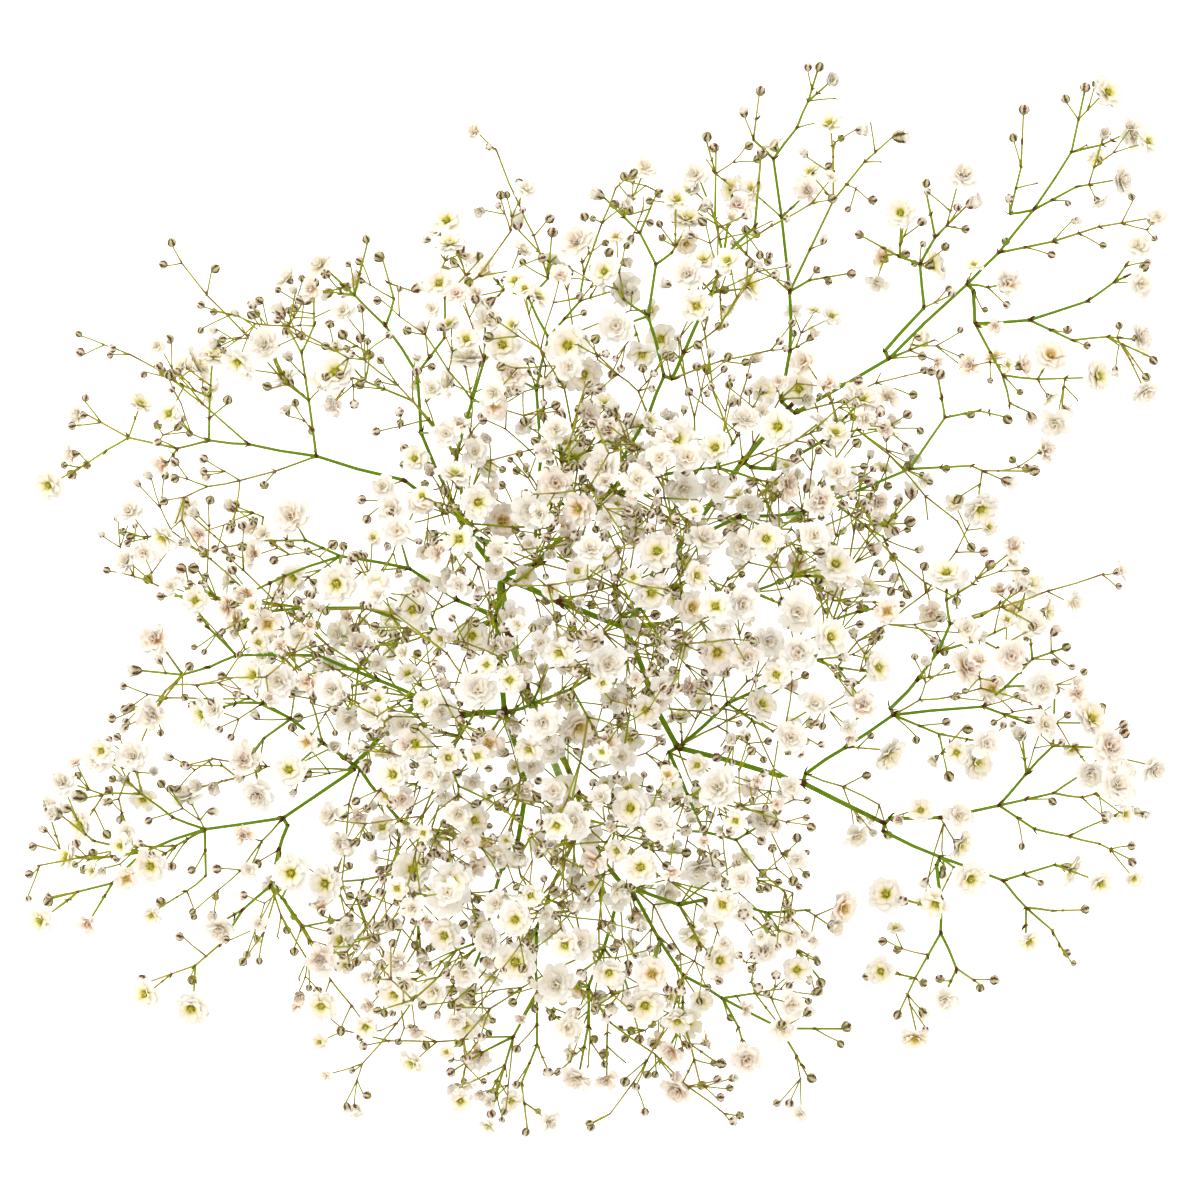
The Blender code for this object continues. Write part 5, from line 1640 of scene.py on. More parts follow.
OPEN = BloomKind(
    whorls=(
        Whorl(7, 1.06, 0.44, 0.75, -0.25, (0.12, -0.24), 0.05, FINE_ROWS),
        Whorl(7, 0.90, 0.38, 1.10, 0.02, (0.14, -0.20), 0.06),
        Whorl(6, 0.70, 0.32, 1.30, 0.42, (0.16, -0.16), 0.07),
    ),
    uneven=0.12,
    throat=1.0,
)
POMPOM = BloomKind(
    whorls=(
        Whorl(6, 1.06, 0.46, 0.80, -0.20, (0.07, -0.22), 0.05, FINE_ROWS),
        Whorl(6, 0.92, 0.42, 1.10, 0.12, (0.06, -0.20), 0.07),
        Whorl(6, 0.76, 0.36, 1.35, 0.55, (0.05, -0.16), 0.08),
        Whorl(5, 0.62, 0.30, 1.50, 1.10, (0.03, -0.12), 0.09),
    ),
    uneven=0.15,
    throat=0.25,
)
CRUMPLED = BloomKind(
    whorls=(
        Whorl(6, 0.98, 0.34, 0.95, 0.05, (0.07, -0.22), 0.10),
        Whorl(6, 0.84, 0.30, 1.25, 0.5, (0.06, -0.20), 0.11),
        Whorl(6, 0.70, 0.26, 1.45, 0.95, (0.05, -0.16), 0.11),
        Whorl(4, 0.56, 0.20, 1.50, 1.35, (0.03, -0.12), 0.09),
    ),
    uneven=0.24,
    throat=0.0,
)
OPENING = BloomKind(
    whorls=(
        Whorl(4, 1.15, 0.54, 1.35, 0.92, (0.16, -0.42), 0.07),
        Whorl(3, 1.08, 0.44, 1.45, 1.15, (0.10, -0.40), 0.08),
        Whorl(2, 0.98, 0.34, 1.50, 1.35, (0.04, -0.38), 0.08),
    ),
    uneven=0.12,
    throat=0.1,
)


@dataclass(frozen=True)
class Calyx:
    """Five joined sepals with a dark stripe each: round a bud, or as the cup under open petals."""

    heights: tuple
    radii: tuple
    teeth: float
    rib: float = 0.05
    sepals: int = 5
    parts: int = 2
    tooth_power: int = 3

    def form(self) -> Form:
        """The calyx round its own z axis, one millimetre in radius.

        Returns:
            The form.
        """
        around = self.sepals * self.parts
        turns = np.arange(around) * math.tau / around
        stripe = 0.5 + 0.5 * np.cos(turns * self.sepals)
        rings, tones, grains = [], [], []
        low, high = self.heights[0], self.heights[-1]
        for number, (z, r) in enumerate(zip(self.heights, self.radii)):
            share = (z - low) / (high - low)
            tooth = self.teeth * (stripe - 0.5) * share ** self.tooth_power
            radius = r * (1.0 + self.rib * (stripe - 0.5))
            rings.append(np.stack([radius * np.cos(turns), radius * np.sin(turns), z + tooth], axis=-1))
            flat, height = np.zeros(around), np.full(around, share)
            tones.append(np.stack([stripe, height, flat, flat], axis=-1))
            grains.append(np.stack([turns / math.tau, height, flat], axis=-1))
        return skin(np.array(rings), np.array(tones), np.array(grains))


CALYXES = {
    BUD: Calyx((-0.96, -0.68, -0.05, 0.6, 0.98), (0.22, 0.72, 1.02, 0.72, 0.14), 0.1),
    CUP: Calyx((-0.84, -0.7, -0.42, 0.0), (0.1, 0.32, 0.5, 0.6), 0.4),
    BLOOM: Calyx((-0.62, -0.42, -0.14), (0.08, 0.24, 0.33), 0.2),
}


@dataclass(frozen=True)
class Bract:
    """One of the small pointed scales at a node: each ring's height, share of the width, and lean."""

    wide: float = 0.24
    thick: float = 0.1
    outline: tuple = ((0.0, 0.7, 0.0), (0.3, 1.0, 0.07), (0.7, 0.55, 0.1), (1.0, 0.06, 0.04))
    foot_brown: float = 0.95
    tip_brown: float = 0.65
    shade: float = 0.5

    def form(self) -> Form:
        """The scale along its own z axis, one millimetre long, curved a little inwards.

        Returns:
            The form.
        """
        rings = []
        for z, share, lean in self.outline:
            wide, thick = self.wide * share, self.thick * share
            rings.append([(lean + thick, 0.0, z), (lean, wide, z), (lean - thick, 0.0, z), (lean, -wide, z)])
        shape = np.array(rings)
        share = np.broadcast_to(np.linspace(0.0, 1.0, len(rings))[:, None], shape.shape[:2])
        flat = np.zeros(share.shape)
        brown = self.foot_brown + (self.tip_brown - self.foot_brown) * share
        tone = np.stack([flat, brown, flat + self.shade, flat], axis=-1)
        return skin(shape, tone, np.stack([flat, share, flat], axis=-1))


BRACT = Bract().form()


class Pile:
    """Many small closed forms gathered into one mesh."""

    def __init__(self) -> None:
        """Start with nothing in it."""
        self.forms: list[Form] = []

    def add(self, form: Form) -> None:
        """Put a form on the pile."""
        self.forms.append(form)

    def build(self, name: str, material: bpy.types.Material, node: str,
              slot: str) -> Optional[bpy.types.Object]:
        """Write the pile as one smooth object that stands for its node.

        Args:
            name: The piece's name.
            material: What it is made of.
            node: The solid that it stands for.
            slot: The record's slot that it would take its finish from; not used.

        Returns:
            The object, or None where the pile is empty.
        """
        if not self.forms:
            return None
        whole = joined(self.forms)
        points = whole.points.copy()
        points[:, 2] = np.maximum(points[:, 2], 0.0)
        mesh = bpy.data.meshes.new(name)
        mesh.vertices.add(len(points))
        mesh.vertices.foreach_set("co", (points * METRES).astype(np.float32).ravel())
        mesh.loops.add(len(whole.corners))
        mesh.loops.foreach_set("vertex_index", whole.corners.astype(np.int32))
        mesh.polygons.add(len(whole.sizes))
        starts = np.concatenate([[0], np.cumsum(whole.sizes)[:-1]])
        mesh.polygons.foreach_set("loop_start", starts.astype(np.int32))
        mesh.update(calc_edges=True)
        tone = mesh.attributes.new("tone", "FLOAT_COLOR", "POINT")
        tone.data.foreach_set("color", whole.tone.astype(np.float32).ravel())
        grain = mesh.attributes.new("grain", "FLOAT_VECTOR", "POINT")
        grain.data.foreach_set("vector", whole.grain.astype(np.float32).ravel())
        mesh.materials.append(material)
        mesh.shade_smooth()
        mesh.set_sharp_from_angle(angle=RIM_ANGLE)
        piece = bpy.data.objects.new(name, mesh)
        bpy.context.scene.collection.objects.link(piece)
        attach(piece, "root")
        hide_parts(node)
        triangles = int((whole.sizes - 2).sum())
        LOG.info("%s: %d triangles", name, triangles)
        return piece


@dataclass(frozen=True)
class Tube:
    """How a stalk is drawn: thinner than its solid, with swollen nodes and soft bends."""

    slimmer: float = 0.05
    bend_reach: float = 1.6
    swell: float = 1.02
    stout_swell: float = 0.12
    sway: float = 0.022
    least_sway_run: float = 4.0
    root_sink: float = 0.6
    root_node: float = 0.9
    root_reach: float = 4.0
    root_share: float = 0.25
    tone_radii: tuple = (0.14, 1.0)
    sway_places: tuple = (0.4, 0.6)
    bare: float = 0.1
    near_node: float = 0.2
    below_node: float = 0.95
    above_node: float = 1.0
    most_run: float = 0.3
    shoulder: float = 0.35
    cut_rings: tuple = (0.3, 0.9)
    cut_thickness: float = 0.8
    end_node: float = 0.9

    def drawn_radius(self, radius: float) -> float:
        """The radius that shows for a solid's radius, which is thicker so that it holds together."""
        return max(min(radius, PEDICEL_RADIUS - self.slimmer), radius - self.slimmer)

    def thickness(self, radius: float) -> float:
        """How thick a stem of this radius is for its tone, from 0 to 1."""
        low, high = self.tone_radii
        return min(1.0, max(0.0, (radius - low) / (high - low)))

    def stations(self, stalk: Stalk, rng: random.Random, spine: bool) -> list[tuple[Vec, float, float]]:
        """Places, radii and how much of a node each is, from the root to the tip.

        Args:
            stalk: The stalk.
            rng: Draws for its sway.
            spine: Whether its root reaches over to the node that carries it.

        Returns:
            The stations.
        """
        line = [tuple(p) for p in stalk.line]
        plain = [r / NODE_SWELL if 0 < i < len(line) - 1 else r for i, r in enumerate(stalk.radii)]
        radii = [self.drawn_radius(r) for r in plain]
        first = stalk.run(0)
        start = plus(line[0], unit(first), -(SEAT_GAP + self.root_sink)) if spine else line[0]
        stations = [(start, radii[0], self.root_node)]
        if stalk.radii[0] >= PEDICEL_RADIUS:
            reach = min(self.root_reach * radii[0], length_of(first) * self.root_share)
            stations.append((plus(line[0], unit(first), reach), radii[0], self.bare))
        for i in range(len(line) - 1):
            run = stalk.run(i)
            long = length_of(run)
            marks = [(share, True) for index, share in stalk.joints if index == i]
            if long > self.least_sway_run and not marks:
                marks = [(rng.uniform(*self.sway_places), False)]
            for share, node in sorted(marks):
                radius = radii[i] + (radii[i + 1] - radii[i]) * share
                place = plus(line[i], run, share)
                if node:
                    stations += self.node(place, unit(run), unit(run), radius, long)
                    continue
                side = side_of(unit(run))
                away = plus(side, cross(unit(run), side), rng.uniform(-1.0, 1.0))
                sway = rng.uniform(-1.0, 1.0) * self.sway * long
                stations.append((plus(place, away, sway), radius, 0.0))
            if i < len(line) - 2:
                onward = stalk.run(i + 1)
                short = min(long, length_of(onward))
                stations += self.node(line[i + 1], unit(run), unit(onward), radii[i + 1], short)
        stations.append((line[-1], radii[-1], 0.0))
        return stations

    def node(self, place: Vec, before: Vec, after: Vec, radius: float, run: float) -> list[tuple]:
        """A swollen node, with the stem at its own radius on both sides of it.

        Args:
            place: The node.
            before: The way of the run before it.
            after: The way of the run after it.
            radius: The radius of the stem.
            run: The length of the shorter run.

        Returns:
            Its stations.
        """
        reach = min((self.bend_reach + radius) * radius, run * self.most_run)
        stout = radius * NODE_SWELL * (self.swell + self.stout_swell * radius)
        near = reach * self.shoulder
        return [(plus(place, before, -reach), radius, self.near_node),
                (plus(place, before, -near), stout, self.below_node),
                (plus(place, after, near), stout, self.above_node),
                (plus(place, after, reach), radius, self.near_node)]

    def form(self, stalk: Stalk, rng: random.Random, spine: bool, cut: bool) -> Form:
        """The stalk as a closed tube.

        Args:
            stalk: The stalk.
            rng: Draws for its sway and shade.
            spine: Whether its root reaches over to the node that carries it.
            cut: Whether its root is a cut end.

        Returns:
            The form.
        """
        stations = self.stations(stalk, rng, spine)
        places = [place for place, _, _ in stations]
        runs = [unit(minus(places[i + 1], places[i])) for i in range(len(places) - 1)]
        side = side_of(runs[0])
        shade = 1.0 if cut else rng.random()
        turns = np.arange(stalk.sides) * math.tau / stalk.sides
        level = np.zeros(stalk.sides)
        rings, tones, grains = [], [], []
        gone = 0.0
        for i, (place, radius, node) in enumerate(stations):
            direction = unit(plus(runs[max(i - 1, 0)], runs[min(i, len(runs) - 1)]))
            side = squared(side, direction)
            other = cross(direction, side)
            gone += length_of(minus(place, places[i - 1])) if i else 0.0
            circle = np.outer(np.cos(turns), side) + np.outer(np.sin(turns), other)
            if cut and i == 0:
                for share in self.cut_rings:
                    rings.append(np.array(place) + circle * radius * share)
                    tones.append(np.tile([self.cut_thickness, 0.0, shade, 1.0], (stalk.sides, 1)))
                    grains.append(np.stack([np.cos(turns), np.sin(turns), level], axis=-1))
            rings.append(np.array(place) + circle * radius)
            if i == len(stations) - 1 and stalk.head == CUT:
                node = self.end_node
            tones.append(np.tile([self.thickness(radius), node, shade, 0.0], (stalk.sides, 1)))
            grains.append(np.stack([np.cos(turns), np.sin(turns), level + gone], axis=-1))
        return skin(np.array(rings), np.array(tones), np.array(grains))


@dataclass
class Dressing:
    """One node of the solids, dressed: its stems with their bracts, its petals and its calyces."""

    branch: Branch
    tube: Tube = Tube()
    bract_lengths: tuple = (1.0, 1.7)
    bract_least: float = 0.45
    bract_growth: float = 1.5
    bract_lean: float = 0.55
    bract_share: float = 0.8
    crumpled_share: float = 0.14
    faded_share: float = 0.16
    faded: tuple = (0.3, 0.75)
    fresh: tuple = (0.0, 0.12)
    seed: int = 900
    foot_share: float = 0.7
    bract_stray: tuple = (0.5, 1.5)
    head_stretch: tuple = (0.94, 1.05)

    def build(self, heads: "HeadStore", finishes: "Finishes") -> list[bpy.types.Object]:
        """Build the node's pieces.

        Args:
            heads: The variants of its heads.
            finishes: Its materials.

        Returns:
            The pieces, which ride on the body and stand for the node.
        """
        stems, petals, calyces = Pile(), Pile(), Pile()
        name, rng = self.branch.name, random.Random(self.seed + self.branch.number)
        main = name == "main_stem"
        for order, stalk in enumerate(self.branch.stalks):
            stems.add(self.tube.form(stalk, rng, order == 0 and not main, main and order == 0))
            self.add_bracts(stems, stalk, rng)
            if stalk.head != CUT:
                self.add_head(petals, calyces, stalk, heads, rng)
        made = [
            stems.build(f"{name}_stems", finishes.stem, name, "stem"),
            petals.build(f"{name}_petals", finishes.petal, name, "petal"),
            calyces.build(f"{name}_calyces", finishes.calyx, name, "calyx"),
        ]
        return [piece for piece in made if piece]

    def add_bracts(self, stems: Pile, stalk: Stalk, rng: random.Random) -> None:
        """Add a pair of scales at each of a stalk's nodes, and at the end of a bare twig.

        Args:
            stems: The pile that they join.
            stalk: The stalk.
            rng: The draws.
        """
        forks = stalk.inner_forks() + [stalk.on_run(index, share) for index, share in stalk.joints]
        if stalk.head == CUT and self.branch.name != "main_stem":
            forks.append(stalk.tip())
        for fork in forks:
            if rng.random() > self.bract_share:
                continue
            turn = rng.uniform(0.0, math.tau)
            for half in (0.0, math.pi):
                side = side_of(fork.along)
                out = turned(side, cross(fork.along, side), turn + half)
                lean = self.bract_lean * rng.uniform(*self.bract_stray)
                up = unit(plus(fork.along, out, math.tan(lean)))
                foot = plus(fork.place, out, self.tube.drawn_radius(fork.radius) * self.foot_share)
                long = rng.uniform(*self.bract_lengths) * (self.bract_least + self.bract_growth * fork.radius)
                tone = BRACT.tone.copy()
                tone[:, 0] = self.tube.thickness(fork.radius)
                stems.add(BRACT.moved(foot, squared(out, up), up, (long, long, long), tone))

    def add_head(self, petals: Pile, calyces: Pile, stalk: Stalk, heads: "HeadStore",
                 rng: random.Random) -> None:
        """Add the bloom, half-open bloom or bud that ends a stalk.

        Args:
            petals: The pile of petals.
            calyces: The pile of calyces.
            stalk: The stalk.
            heads: The variants of the heads.
            rng: The draws.
        """
        across = squared(side_of(stalk.facing), stalk.facing)
        across = turned(across, cross(stalk.facing, across), rng.uniform(0.0, math.tau))
        size = stalk.size
        scale = tuple(size * rng.uniform(*self.head_stretch) for _ in range(3))
        shade = rng.random()
        calyx = heads.calyx(stalk.head)
        tone = calyx.tone.copy()
        tone[:, 2] = shade
        calyces.add(calyx.moved(stalk.centre(), across, stalk.facing, scale, tone))
        if stalk.head == BUD:
            return
        crumpled = stalk.head == BLOOM and rng.random() < self.crumpled_share
        faded = crumpled or rng.random() < self.faded_share
        fade = rng.uniform(*(self.faded if faded else self.fresh))
        bloom = heads.bloom(stalk.head, size, crumpled, rng)
        tone = bloom.tone.copy()
        tone[:, 1] = fade
        petals.add(bloom.moved(stalk.centre(), across, stalk.facing, scale, tone))


@dataclass
class HeadStore:
    """The seeded variants of each kind of head, made once."""

    opens: int = 8
    pompoms: int = 8
    crumples: int = 5
    openings: int = 5
    open_share: float = 0.5
    plain_size: float = 4.0
    open_seed: int = 100
    pompom_seed: int = 150
    crumpled_seed: int = 200
    opening_seed: int = 300

    def __post_init__(self) -> None:
        """Make every variant."""
        self.open = self.made(OPEN, self.open_seed, self.opens)
        self.pompom = self.made(POMPOM, self.pompom_seed, self.pompoms)
        self.crumpled = self.made(CRUMPLED, self.crumpled_seed, self.crumples)
        self.opening = [OPENING.form(self.opening_seed + k) for k in range(self.openings)]
        self.calyxes = {kind: calyx.form() for kind, calyx in CALYXES.items()}

    def made(self, kind: BloomKind, seed: int, count: int) -> tuple[list[Form], list[Form]]:
        """The seeded variants of a kind of bloom, and those of its plainer kind."""
        plainer = kind.plainer()
        return [kind.form(seed + k) for k in range(count)], [plainer.form(seed + k) for k in range(count)]

    def calyx(self, kind: Head) -> Form:
        """The calyx of a kind of head."""
        return self.calyxes[kind]

    def bloom(self, kind: Head, size: float, crumpled: bool, rng: random.Random) -> Form:
        """A variant of an open or half-open head.

        Args:
            kind: The kind of head.
            size: Its radius.
            crumpled: Whether it is faded and crumpled.
            rng: The draws.

        Returns:
            The form.
        """
        if kind == CUP:
            return rng.choice(self.opening)
        plainer = size < self.plain_size
        if crumpled:
            return rng.choice(self.crumpled[plainer])
        return rng.choice((self.open if rng.random() < self.open_share else self.pompom)[plainer])


Colour = tuple[float, float, float]


# The sockets of a mix node that take the share and the two colours, and the one that gives the colour.
MIX_INPUTS = (0, 6, 7)
MIX_OUTPUT = 2


class Recipe:
    """A material's nodes, put together by short calls."""

    def __init__(self, name: str) -> None:
        """Start a material.

        Args:
            name: The material's name.
        """
        self.material = bpy.data.materials.new(name)
        self.material.use_nodes = True
        self.nodes = self.material.node_tree.nodes
        self.links = self.material.node_tree.links
        self.shader = self.nodes["Principled BSDF"]

    def put(self, value: object, socket: bpy.types.NodeSocket) -> None:
        """Link a socket or set a constant.

        Args:
            value: A socket, a colour or a number.
            socket: Where it goes.
        """
        if isinstance(value, bpy.types.NodeSocket):
            self.links.new(value, socket)
        elif isinstance(value, tuple) and len(value) == 3 and socket.type == "RGBA":
            socket.default_value = (*value, 1.0)
        else:
            socket.default_value = value

    def tone(self) -> tuple:
        """The four numbers of the tone at a point.

        Returns:
            A socket for each number.
        """
        node = self.nodes.new("ShaderNodeAttribute")
        node.attribute_name = "tone"
        split = self.nodes.new("ShaderNodeSeparateColor")
        self.put(node.outputs["Color"], split.inputs[0])
        return (*split.outputs, node.outputs["Alpha"])

    def grain(self, scale: Vec) -> bpy.types.NodeSocket:
        """The grain at a point, scaled.

        Args:
            scale: The scale along each axis.

        Returns:
            The socket.
        """
        node = self.nodes.new("ShaderNodeAttribute")
        node.attribute_name = "grain"
        return self.scaled(node.outputs["Vector"], scale)

    def place(self, scale: float) -> bpy.types.NodeSocket:
        """The place on the object, scaled from metres."""
        node = self.nodes.new("ShaderNodeTexCoord")
        return self.scaled(node.outputs["Object"], (scale, scale, scale))

    def scaled(self, vector: bpy.types.NodeSocket, scale: Vec) -> bpy.types.NodeSocket:
        """A vector scaled along each of its axes.

        Args:
            vector: The vector.
            scale: The scale.

        Returns:
            The socket.
        """
        node = self.nodes.new("ShaderNodeVectorMath")
        node.operation = "MULTIPLY"
        self.put(vector, node.inputs[0])
        node.inputs[1].default_value = scale
        return node.outputs[0]

    def noise(self, vector: bpy.types.NodeSocket, detail: float = 3.0,
              rough: float = 0.55) -> bpy.types.NodeSocket:
        """Noise of one unit's grain over a vector.

        Args:
            vector: The vector.
            detail: How many finer layers it has.
            rough: How strong they are.

        Returns:
            The socket.
        """
        node = self.nodes.new("ShaderNodeTexNoise")
        self.put(vector, node.inputs["Vector"])
        node.inputs["Scale"].default_value = 1.0
        node.inputs["Detail"].default_value = detail
        node.inputs["Roughness"].default_value = rough
        return node.outputs[0]

    def ramp(self, value: object, start: float, end: float, low: float = 0.0,
             high: float = 1.0) -> bpy.types.NodeSocket:
        """A value eased from one range to another.

        Args:
            value: The value.
            start: Where the ramp starts.
            end: Where it ends.
            low: What it gives at its start.
            high: What it gives at its end.

        Returns:
            The socket.
        """
        node = self.nodes.new("ShaderNodeMapRange")
        node.interpolation_type = "SMOOTHSTEP"
        self.put(value, node.inputs["Value"])
        for name, number in (("From Min", start), ("From Max", end), ("To Min", low), ("To Max", high)):
            node.inputs[name].default_value = number
        return node.outputs[0]

    def times(self, a: object, b: object) -> bpy.types.NodeSocket:
        """Two numbers multiplied."""
        return self.sum_of(a, b, "MULTIPLY")

    def sum_of(self, a: object, b: object, operation: str = "ADD") -> bpy.types.NodeSocket:
        """Two numbers added, or put together by another operation.

        Args:
            a: The first.
            b: The second.
            operation: The operation.

        Returns:
            The socket.
        """
        node = self.nodes.new("ShaderNodeMath")
        node.operation = operation
        self.put(a, node.inputs[0])
        self.put(b, node.inputs[1])
        return node.outputs[0]

    def mix(self, share: object, a: object, b: object) -> bpy.types.NodeSocket:
        """Two colours mixed.

        Args:
            share: The share of the second.
            a: The first.
            b: The second.

        Returns:
            The socket.
        """
        node = self.nodes.new("ShaderNodeMix")
        node.data_type = "RGBA"
        for value, socket in zip((share, a, b), MIX_INPUTS):
            self.put(value, node.inputs[socket])
        return node.outputs[MIX_OUTPUT]

    def bump(self, height: bpy.types.NodeSocket, strength: float, distance: float) -> None:
        """Raise the surface by a height.

        Args:
            height: The height.
            strength: How strongly it shows.
            distance: The most rise, in metres.
        """
        node = self.nodes.new("ShaderNodeBump")
        node.inputs["Strength"].default_value = strength
        node.inputs["Distance"].default_value = distance
        self.put(height, node.inputs["Height"])
        self.put(node.outputs[0], self.shader.inputs["Normal"])

    def finish(self, colour: object, roughness: object, **constants: object) -> bpy.types.Material:
        """Set the shader's colour, roughness and constants.

        Args:
            colour: A colour, or the socket that gives it.
            roughness: A number, or the socket that gives it.
            constants: Values for other sockets, by their names with underscores.

        Returns:
            The material.
        """
        self.put(colour, self.shader.inputs["Base Color"])
        self.put(roughness, self.shader.inputs["Roughness"])
        for name, value in constants.items():
            self.shader.inputs[name.replace("_", " ").title().replace("Ior", "IOR")].default_value = value
        return self.material


@dataclass(frozen=True)
class PetalFinish:
    """White petals, painted a darker warm cream as shade towards their bases and in their inner whorls, green
    at the claw, and pinkish with a tan throat when faded.

    A field that ends in ramp holds where a share starts and ends and, where it isn't 0 to 1, what it gives.
    """

    white: Colour = (0.915, 0.895, 0.86)
    cream: Colour = (0.89, 0.855, 0.745)
    # Painted shade: the darker cream of the inner whorls' petals.
    deep_painted_shade: Colour = (0.91, 0.83, 0.70)
    claw: Colour = (0.80, 0.75, 0.30)
    throat: Colour = (0.50, 0.45, 0.03)
    # Painted shade: the warm cream that darkens each petal towards its base, in the bloom's folds.
    painted_fold_shade: Colour = (0.90, 0.80, 0.58)
    faded: Colour = (0.90, 0.80, 0.70)
    tan: Colour = (0.76, 0.46, 0.24)
    heart: Colour = (0.40, 0.36, 0.02)
    anther: Colour = (0.90, 0.86, 0.50)
    vein_scale: tuple = (7.0, 1.2, 40.0)
    vein_detail: float = 2.0
    mottle_scale: float = 900.0
    cream_ramp: tuple = (0.35, 0.75, 0.0, 0.3)
    deep_painted_shade_ramp: tuple = (0.3, 0.95, 0.0, 0.85)
    vein_ramp: tuple = (0.55, 0.8, 0.0, 0.2)
    faded_ramp: tuple = (0.2, 0.7, 0.45, 1.0)
    painted_fold_shade_ramp: tuple = (0.75, 0.15, 0.0, 0.9)
    green_ramp: tuple = (0.0, GREEN_CLAW)
    claw_ramp: tuple = (0.65, 0.2)
    throat_ramp: tuple = (0.32, 0.1)
    tan_ramp: tuple = (0.7, 0.25)
    old_ramp: tuple = (0.25, 0.7)
    anther_ramp: tuple = (0.1, 0.4)
    heart_ramp: tuple = (0.7, 0.9)
    vein_rise: tuple = (0.2, 0.0001)
    roughness: float = 0.8
    specular: float = 0.1

    def make(self) -> bpy.types.Material:
        """Make the material.

        Returns:
            The material.
        """
        recipe = Recipe("petal")
        along, fade, tint_and_painted_shade, green = recipe.tone()
        veins = recipe.noise(recipe.grain(self.vein_scale), self.vein_detail)
        mottle = recipe.noise(recipe.place(self.mottle_scale))
        colour = recipe.mix(recipe.ramp(mottle, *self.cream_ramp), self.white, self.cream)
        # Painted shade: the inner whorls' petals take the darker cream, shared with each petal's own random
        # draw.
        colour = recipe.mix(recipe.ramp(tint_and_painted_shade, *self.deep_painted_shade_ramp), colour, self.deep_painted_shade)
        colour = recipe.mix(recipe.ramp(veins, *self.vein_ramp), colour, self.cream)
        colour = recipe.mix(recipe.times(fade, recipe.ramp(mottle, *self.faded_ramp)), colour, self.faded)
        # Painted shade: warm cream laid on towards each petal's base, in the bloom's folds.
        colour = recipe.mix(recipe.ramp(along, *self.painted_fold_shade_ramp), colour, self.painted_fold_shade)
        claws = recipe.ramp(green, *self.green_ramp)
        colour = recipe.mix(recipe.times(claws, recipe.ramp(along, *self.claw_ramp)), colour, self.claw)
        colour = recipe.mix(recipe.times(claws, recipe.ramp(along, *self.throat_ramp)), colour, self.throat)
        tan = recipe.times(recipe.ramp(along, *self.tan_ramp), recipe.ramp(fade, *self.old_ramp))
        colour = recipe.mix(tan, colour, self.tan)
        inner = recipe.mix(recipe.ramp(along, *self.anther_ramp), self.heart, self.anther)
        colour = recipe.mix(recipe.ramp(green, *self.heart_ramp), colour, inner)
        recipe.bump(veins, *self.vein_rise)
        return recipe.finish(colour, self.roughness, specular_ior_level=self.specular)


@dataclass(frozen=True)
class CalyxFinish:
    """Sepals with a dark brown-purple stripe down each middle and pale green or pinkish margins."""

    stripe: Colour = (0.085, 0.036, 0.020)
    green: Colour = (0.42, 0.40, 0.13)
    pink: Colour = (0.62, 0.47, 0.34)
    pale: Colour = (0.78, 0.72, 0.55)
    base: Colour = (0.15, 0.14, 0.025)
    tip: Colour = (0.88, 0.84, 0.72)
    mottle_scale: float = 1800.0
    pink_ramp: tuple = (0.25, 0.75)
    pale_ramp: tuple = (0.35, 0.7, 0.0, 0.8)
    base_ramp: tuple = (0.35, 0.0, 0.0, 0.75)
    ragged_ramp: tuple = (0.25, 0.75, -0.4, 0.3)
    stripe_ramp: tuple = (0.3, 0.6, 0.05, 1.0)
    foot_ramp: tuple = (0.0, 0.3, 0.55, 1.0)
    tip_ramp: tuple = (0.72, 0.95)
    open_ramp: tuple = (0.35, 0.6)
    tip_white: float = 0.8
    mottle_rise: tuple = (0.2, 0.0001)
    roughness: float = 0.55
    specular: float = 0.2

    def make(self) -> bpy.types.Material:
        """Make the material.

        Returns:
            The material.
        """
        recipe = Recipe("calyx")
        stripe, height, shade, _ = recipe.tone()
        mottle = recipe.noise(recipe.place(self.mottle_scale))
        margin = recipe.mix(recipe.ramp(shade, *self.pink_ramp), self.green, self.pink)
        margin = recipe.mix(recipe.ramp(mottle, *self.pale_ramp), margin, self.pale)
        margin = recipe.mix(recipe.ramp(height, *self.base_ramp), margin, self.base)
        edge = recipe.sum_of(stripe, recipe.ramp(mottle, *self.ragged_ramp))
        dark = recipe.times(recipe.ramp(edge, *self.stripe_ramp), recipe.ramp(height, *self.foot_ramp))
        colour = recipe.mix(dark, margin, self.stripe)
        tips = recipe.times(recipe.ramp(height, *self.tip_ramp), recipe.ramp(shade, *self.open_ramp))
        colour = recipe.mix(recipe.times(tips, self.tip_white), colour, self.tip)
        recipe.bump(mottle, *self.mottle_rise)
        return recipe.finish(colour, self.roughness, specular_ior_level=self.specular)


